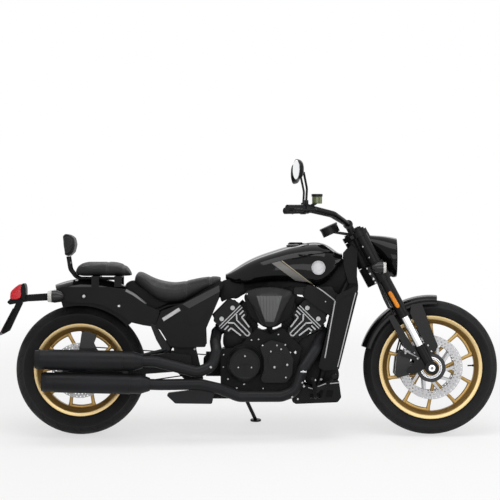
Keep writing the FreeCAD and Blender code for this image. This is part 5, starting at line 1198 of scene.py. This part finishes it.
panel_line = stripe(LONG_LINE, 0.0026)
front_edge = stripe([(1.350, 0.700), (1.337, 0.650), (1.262, 0.340)], 0.0022)
pan_edge = stripe([(1.119, 0.238), (1.139, 0.232), (1.200, 0.256), (1.271, 0.262)], 0.0022)
pill = stripe([(0.412, 0.572), (0.487, 0.619)], 0.0085)
strip_corners = seen_at([(0.5333, 0.6219), (0.6838, 0.7042), (0.6810, 0.7354), (0.4993, 0.6418)], -0.150)
cover_strip = patch(strip_corners[:, [0, 2]])
SILVER, BRIGHT = (0.42, 0.42, 0.42), (0.5, 0.5, 0.5)
# The near black for the belly pan's slots is painted shade: the darkness inside them, painted on the solid
# pan.
GREY, SLOT_SHADE = (0.045, 0.045, 0.046), (0.001, 0.001, 0.001)
PANEL_BLACKS = (0.0035, 0.0035, 0.0038), (0.0062, 0.0062, 0.0066)
for node, name, rough, marks in (
        ("radiator_shroud", "shroud_black", (0.36, 0.5),
         [(panel_line, SILVER, 0.3), (front_edge, SILVER, 0.3)]),
        ("side_covers", "cover_panel_black", (0.34, 0.48), [(panel_line, SILVER, 0.3), (pill, BRIGHT, 0.3),
                                                            (cover_strip, GREY, 0.4)]),
        ("belly_pan", "pan_black", (0.38, 0.52), [(pan_edge, SILVER, 0.3), (pan_slot_shade, SLOT_SHADE, 0.6)])):
    dress(node, surface(name, *PANEL_BLACKS, rough, 0.0003, grain=1300.0, level=0.1, marks=marks))


# Brake switch: a small turned steel body on the engine's right side, near the brake pedal. It lies on
# the first surface behind its place in the picture.

def rod_between(start, end, radius):
    """Round bar: four rings of sixteen points about the line from one place to the other. The first
    and last are smaller and close its ends."""
    a, b = np.asarray(start, float), np.asarray(end, float)
    run = (b - a) / np.linalg.norm(b - a)
    side = np.cross(run, (0.0, 1.0, 0.0))
    side /= np.linalg.norm(side)
    k = np.linspace(0, 2 * math.pi, 16, endpoint=False)[:, None]
    ring = radius * (side * np.cos(k) + np.cross(run, side) * np.sin(k))
    rings = np.stack([a + 0.6 * ring, a + ring + 0.0006 * run, b + ring - 0.0006 * run, b + 0.6 * ring])
    return rings.reshape(-1, 3), grid_faces(4, 16, True, True)


SWITCH_RADIUS = 0.0045
ends = upright([surface_behind(chassis_skin, x, z)[0] for x, z in ((1.084, 0.308), (1.114, 0.308))])
ends[:, 1] = ends[:, 1].min() - 0.5 * SWITCH_RADIUS
points, faces = rod_between(*parked(ends), SWITCH_RADIUS)
piece = sharpened(outward(mesh_piece("brake_switch", points, faces)), 40.0)
piece.data.materials.append(screw_steel)
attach(piece, "chassis")


# Radiator: a core of thin tubes with folded fins, brazed between aluminium end tanks. It leans between
# the frame's front rails, behind its moulded side panels.

TUBE_PITCH, FIN_PITCH, RADIATOR_LEAN = 0.010, 0.0032, math.radians(14)
material, tree, shader, place, skin = start_finish("radiator_core", 900.0)
side_way = axes_of(tree, place)["Y"]
core = between(tree, side_way, -0.104, 0.104, 0.001)
tube_way = along(tree, place, (math.sin(RADIATOR_LEAN), 0.0, math.cos(RADIATOR_LEAN)))
tubes = waves(tree, tube_way, 2 * math.pi / TUBE_PITCH)
folds = maths(tree, "MULTIPLY", tubes, waves(tree, side_way, 2 * math.pi / FIN_PITCH))
height = maths(tree, "MULTIPLY", maths(tree, "ADD", folds, tubes), core)
black = colour_mix(tree, skin.outputs["Tone"], (0.008, 0.008, 0.009), (0.014, 0.014, 0.015))
tree.links.new(colour_mix(tree, core, black, (0.03, 0.03, 0.032)), shader.inputs["Base Color"])
shader.inputs["Roughness"].default_value = 0.45
shader.inputs["Metallic"].default_value = 0.3
bump(tree, shader, height, 0.0015)
dress("radiator", material)


# Fork reflectors: amber prisms of moulded plastic in the shape of a pill, one glued to each outer
# tube of the fork.

amber = surface("amber_prisms", (0.74, 0.24, 0.008), (0.55, 0.16, 0.008), (0.25, 0.35), 0.0003, grain=500.0,
                level=0.2)
for side, name in ((-1.0, "fork_reflector_right"), (1.0, "fork_reflector_left")):
    ends = seen_at([(1.527, 0.697), (1.564, 0.633)], -0.135)
    t = np.concatenate([[-0.13, -0.12, -0.06], np.linspace(0, 1, 7), [1.06, 1.12, 1.13]])[:, None]
    middle = ends[0] * (1 - t) + ends[1] * t
    k = np.clip(np.stack([t[:, 0] + 0.13, 1.13 - t[:, 0]], -1).min(axis=1) / 0.13, 0, 1)
    wide = 0.0095 * np.sqrt(1 - (1 - k) ** 2) + 0.0003
    points, faces = swept_bar(middle[:, [0, 2]], np.stack([wide, np.full(len(k), 0.0055)], -1), 24, 3.0)
    points[:, 1] -= 0.1325
    points[:, 1] *= -side
    piece = sharpened(outward(mesh_piece(name, parked(points), faces)))
    piece.data.materials.append(amber)
    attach(piece, "steering")


# Controls: a fluid cup of green tinted plastic on the right lever's clamp, and oval mirrors with
# silvered glass that face back.

cup = [(0.0, 0.0010), (0.0243, 0.0010), (0.0247, 0.0030), (0.0247, 0.0310), (0.0243, 0.0330), (0.0, 0.0330)]
points, faces = turned_shell(cup, 48, (0, 1, 2))
piece = sharpened(outward(mesh_piece("fluid_cup", parked(points + np.array([1.1572, -0.3005, 1.1338])),
                                     faces)))
piece.data.materials.append(surface("cup_green", (0.075, 0.10, 0.012), (0.06, 0.08, 0.01), (0.15, 0.22),
                                    coat=0.3))
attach(piece, "steering")

silvered = surface("mirror_glass", (0.86, 0.87, 0.88), (0.84, 0.85, 0.86), (0.02, 0.03), metallic=1.0)
a = np.linspace(0, 2 * math.pi, 48, endpoint=False)
c, s = math.cos(math.radians(12)), math.sin(math.radians(12))
for side, name in ((-1.0, "mirror_glass_right"), (1.0, "mirror_glass_left")):
    rings = []
    for share, x in ((0.5, -0.0021), (0.90, -0.0019), (0.925, -0.0010), (0.925, 0.0010)):
        flat = np.stack([np.full(48, x), 0.074 * share * np.cos(a), 0.050 * share * np.sin(a)], -1)
        turned = np.stack([flat[:, 0] * c - flat[:, 1] * s, flat[:, 0] * s + flat[:, 1] * c, flat[:, 2]],
                          -1)
        rings.append((turned + np.array([1.056, -0.362, 1.296])) * np.array([1.0, -side, 1.0]))
    panel(name, rings, silvered, "steering")


# Instrument: a round clock on the steering head. Its black face carries ticks, a needle and a small
# window, and a turned bezel of satin metal holds it in its housing.

DIAL = np.array([1.229, 0.0, 1.008])
OUT = np.array([-0.42, 0.0, 0.91]) / math.hypot(0.42, 0.91)


def on_dial(points):
    """Points (right, up, out) as the rider sees the clock, carried to its face."""
    p = np.asarray(points, float)
    basis = np.array([[0.0, -1.0, 0.0], [OUT[2], 0.0, -OUT[0]], OUT])
    return DIAL + p @ basis


def dial_bar(start, end, width, low, high, narrow=1.0):
    """Bar that lies on the clock's face, before it is carried there: its points and faces."""
    block, faces = bar_between(start, end, width, low, high, narrow)
    return np.array(block)[:, [0, 2, 1]], faces


bezel = [(0.0405, 0.0200), (0.0415, 0.0235), (0.0440, 0.0242), (0.0465, 0.0232), (0.0472, 0.0195),
         (0.0405, 0.0190)]
points, faces = turned_shell(bezel, 72, (0, 1, 2))
piece = sharpened(outward(mesh_piece("clock_bezel", parked(on_dial(points)), faces)))
piece.data.materials.append(surface("bezel_metal", (0.16, 0.16, 0.165), (0.12, 0.12, 0.125), (0.2, 0.3),
                                    metallic=0.8))
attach(piece, "steering")
k = np.linspace(0, 2 * math.pi, 72, endpoint=False)
face_rings = [on_dial(np.stack([r * np.cos(k), r * np.sin(k), np.full(72, z)], -1))
              for r, z in ((0.030, 0.0207), (0.0405, 0.0207), (0.0410, 0.0202), (0.0410, 0.0192))]
clock_black = surface("clock_black", (0.004, 0.004, 0.005), (0.006, 0.006, 0.007), (0.1, 0.14), coat=0.4,
                      level=0.3)
panel("clock_face", face_rings, clock_black, "steering")
parts = []
for i in range(31):
    turn = math.radians(225 - 9 * i)
    flat = np.array([math.cos(turn), math.sin(turn)])
    inner, width = (0.033, 0.0008) if i % 5 else (0.0305, 0.0014)
    parts.append(dial_bar(flat * inner, flat * 0.0375, width, 0.0206, 0.0210))
parts.append(dial_bar((0.002, -0.001), (-0.018, 0.022), 0.0016, 0.0210, 0.0216, 0.4))
points, faces = together(parts)
piece = outward(mesh_piece("clock_marks", parked(on_dial(points)), faces, False))
piece.data.materials.append(surface("clock_white", (0.7, 0.7, 0.7), (0.66, 0.66, 0.66), (0.4, 0.5)))
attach(piece, "steering")
points, faces = dial_bar((-0.016, -0.016), (0.016, -0.016), 0.012, 0.0206, 0.0209)
piece = outward(mesh_piece("clock_window", parked(on_dial(points)), faces, False))
piece.data.materials.append(surface("window_grey", (0.16, 0.18, 0.15), (0.14, 0.16, 0.13), (0.12, 0.16),
                                    coat=0.3))
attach(piece, "steering")


# Headlight: a domed glass is seated in the shell, in front of a bright metal bowl. A grey metal shade
# stands in the bowl's middle over the bulb.

LAMP_HEIGHT = 0.873


def about_lamp(profile, count=72):
    """Closed turning about the headlight's line: pairs of (radius, place along X)."""
    points, faces = turned_shell(profile, count, (2, 0, 1))
    return parked(points + np.array([0.0, 0.0, LAMP_HEIGHT])), faces


r = np.linspace(0.0, 0.0860, 12)
dome = 1.5555 - 0.0095 * (r / 0.0867) ** 2
glass_profile = list(zip(r, dome)) + [(0.0867, 1.5455), (0.0867, 1.5225), (0.0845, 1.5225),
                                      (0.0845, 1.5440)]
glass_profile += [(q, 1.5525 - 0.0085 * (q / 0.0845) ** 2) for q in r[::-1] if q < 0.0840]
piece = sharpened(outward(mesh_piece("headlight_glass", *about_lamp(glass_profile))))
material, tree, shader, place, skin = start_finish("lamp_glass", 900.0)
tree.links.new(colour_mix(tree, skin.outputs["Tone"], (0.97, 0.98, 1.0), (0.95, 0.96, 0.98)),
               shader.inputs["Base Color"])
shader.inputs["Roughness"].default_value = 0.02
shader.inputs["Transmission Weight"].default_value = 1.0
shader.inputs["IOR"].default_value = 1.45
piece.data.materials.append(material)
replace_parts(piece, "headlight_lens")
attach(piece, "steering")
r = np.linspace(0.0, 0.0835, 14)
bowl = [(q, 1.5205 + 0.0215 * (q / 0.0835) ** 2) for q in r] + [(0.0840, 1.5425), (0.0842, 1.5190),
                                                                (0.0, 1.5190)]
piece = sharpened(outward(mesh_piece("headlight_reflector", *about_lamp(bowl))))
piece.data.materials.append(surface("lamp_silver", (0.85, 0.85, 0.86), (0.8, 0.8, 0.81), (0.06, 0.1),
                                    metallic=1.0))
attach(piece, "steering")
cap = [(0.0, 1.5400), (0.010, 1.5390), (0.017, 1.5350), (0.020, 1.5290), (0.020, 1.5200), (0.0, 1.5200)]
piece = sharpened(outward(mesh_piece("bulb_shade", *about_lamp(cap, 36))))
piece.data.materials.append(surface("shade_grey", (0.12, 0.12, 0.125), (0.1, 0.1, 0.105), (0.25, 0.35),
                                    metallic=0.7))
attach(piece, "steering")


# Indicators: moulded black pods on short stalks, two beside the fork and two beside the plate's arm.
# Their pale lenses are ribbed behind, and clip into the pods.

def pod_finish(name, low, high):
    """Black pod whose lens is the part between two places along the bike."""
    material, tree, shader, place, skin = start_finish(name, 900.0)
    axes = axes_of(tree, place)
    lens = between(tree, axes["X"], low, high, 0.0008)
    black = colour_mix(tree, skin.outputs["Tone"], (0.006, 0.006, 0.0065), (0.010, 0.010, 0.0105))
    tree.links.new(colour_mix(tree, lens, black, (0.62, 0.61, 0.58)), shader.inputs["Base Color"])
    tree.links.new(value_mix(tree, lens, 0.35, 0.12), shader.inputs["Roughness"])
    shader.inputs["Specular IOR Level"].default_value = 0.25
    shader.inputs["Coat Weight"].default_value = 0.2
    ribs = maths(tree, "MULTIPLY", waves(tree, axes["Z"], 2 * math.pi / 0.005), lens)
    bump(tree, shader, ribs, 0.0006)
    return material


dress("front_indicators", pod_finish("front_pod", 1.4840, 1.6000))
dress("rear_indicators", pod_finish("rear_pod", -0.2000, -0.1330))


# Seat pan and wheel well: a moulded tray carries the rider's cushion on the frame, and a black liner
# closes the space between the rear wheel and the struts.

def straight_slab(outline, steps):
    """Rings of a slab square to the bike: the eased outline at each lateral place, drawn to a share."""
    ring = eased(np.array([(x, 0.0, z) for x, z in outline]))
    middle = ring.mean(axis=0)
    return [middle * [1, 0, 1] + (ring - middle) * [share, 0, share] + [0.0, y, 0.0] for y, share in steps]


pan = [(0.220, 0.745), (0.262, 0.766), (0.3035, 0.730), (0.3773, 0.680), (0.4340, 0.665), (0.4965, 0.678),
       (0.6043, 0.724), (0.7000, 0.768), (0.7050, 0.715), (0.600, 0.672), (0.4965, 0.622), (0.4283, 0.604),
       (0.3716, 0.604), (0.3148, 0.632), (0.220, 0.705)]
panel("seat_pan", straight_slab(pan, ((-0.074, 0.98), (-0.072, 1.0), (0.072, 1.0), (0.074, 0.98))),
      panel_black)

turn = np.radians(np.linspace(43, 105, 61))[:, None]
section = np.array([(0.3270, -0.1040), (0.3270, 0.1040), (0.3165, 0.1060), (0.3165, 0.1120),
                    (0.3490, 0.1120),
                    (0.3490, 0.1080), (0.3320, 0.1060), (0.3320, -0.1060), (0.3490, -0.1080),
                    (0.3490, -0.1120), (0.3165, -0.1120), (0.3165, -0.1060)])
points = np.stack([section[:, 0] * np.cos(turn), np.broadcast_to(section[:, 1], (61, 12)),
                   section[:, 0] * np.sin(turn)], -1) + np.array(HUBS["rear"])
panel("wheel_well", list(points), panel_black)


# Tail lamp: a red lens pressed into a black housing, which stands on the plate's arm. Both are moulded
# plastic.

lens = [(-0.3040, 0.7420), (-0.2880, 0.7420), (-0.2880, 0.6690), (-0.3480, 0.6630), (-0.3470, 0.6900),
        (-0.3440, 0.7080)]
lens_rings = straight_slab(lens, ((-0.0540, 0.6), (-0.0535, 0.9), (-0.0510, 0.98), (-0.0480, 1.0),
                                  (0.0480, 1.0), (0.0510, 0.98), (0.0535, 0.9), (0.0540, 0.6)))
tail_red = surface("tail_red", (0.62, 0.004, 0.016), (0.54, 0.003, 0.012), (0.14, 0.2), 0.0003, coat=0.1,
                   grain=500.0, level=0.25)
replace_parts(panel("tail_lens", lens_rings, tail_red), "tail_light")
housing = [(-0.2940, 0.7460), (-0.2700, 0.7450), (-0.2700, 0.6640), (-0.2940, 0.6660)]
housing_rings = straight_slab(housing, ((-0.0570, 0.9), (-0.0560, 1.0), (0.0560, 1.0), (0.0570, 0.9)))
panel("tail_housing", housing_rings, panel_black)


# Rear mudguard and its struts: pressed steel in gloss black, bolted between struts in satin black. A
# grey strip of trim runs along each strut below the rider's seat.

trim = [(stripe([(0.2290, 0.7120), (0.2600, 0.6960), (0.3290, 0.6490)], 0.0060), (0.20, 0.20, 0.20), 0.3)]
dress("fender_struts", surface("strut_black", *PANEL_BLACKS, (0.34, 0.48), 0.0002, grain=1200.0, level=0.1,
                               marks=trim))
dress("rear_fender", surface("fender_paint", *GLOSS_BLACKS, (0.08, 0.12), coat=0.1, level=0.12, marks=trim))
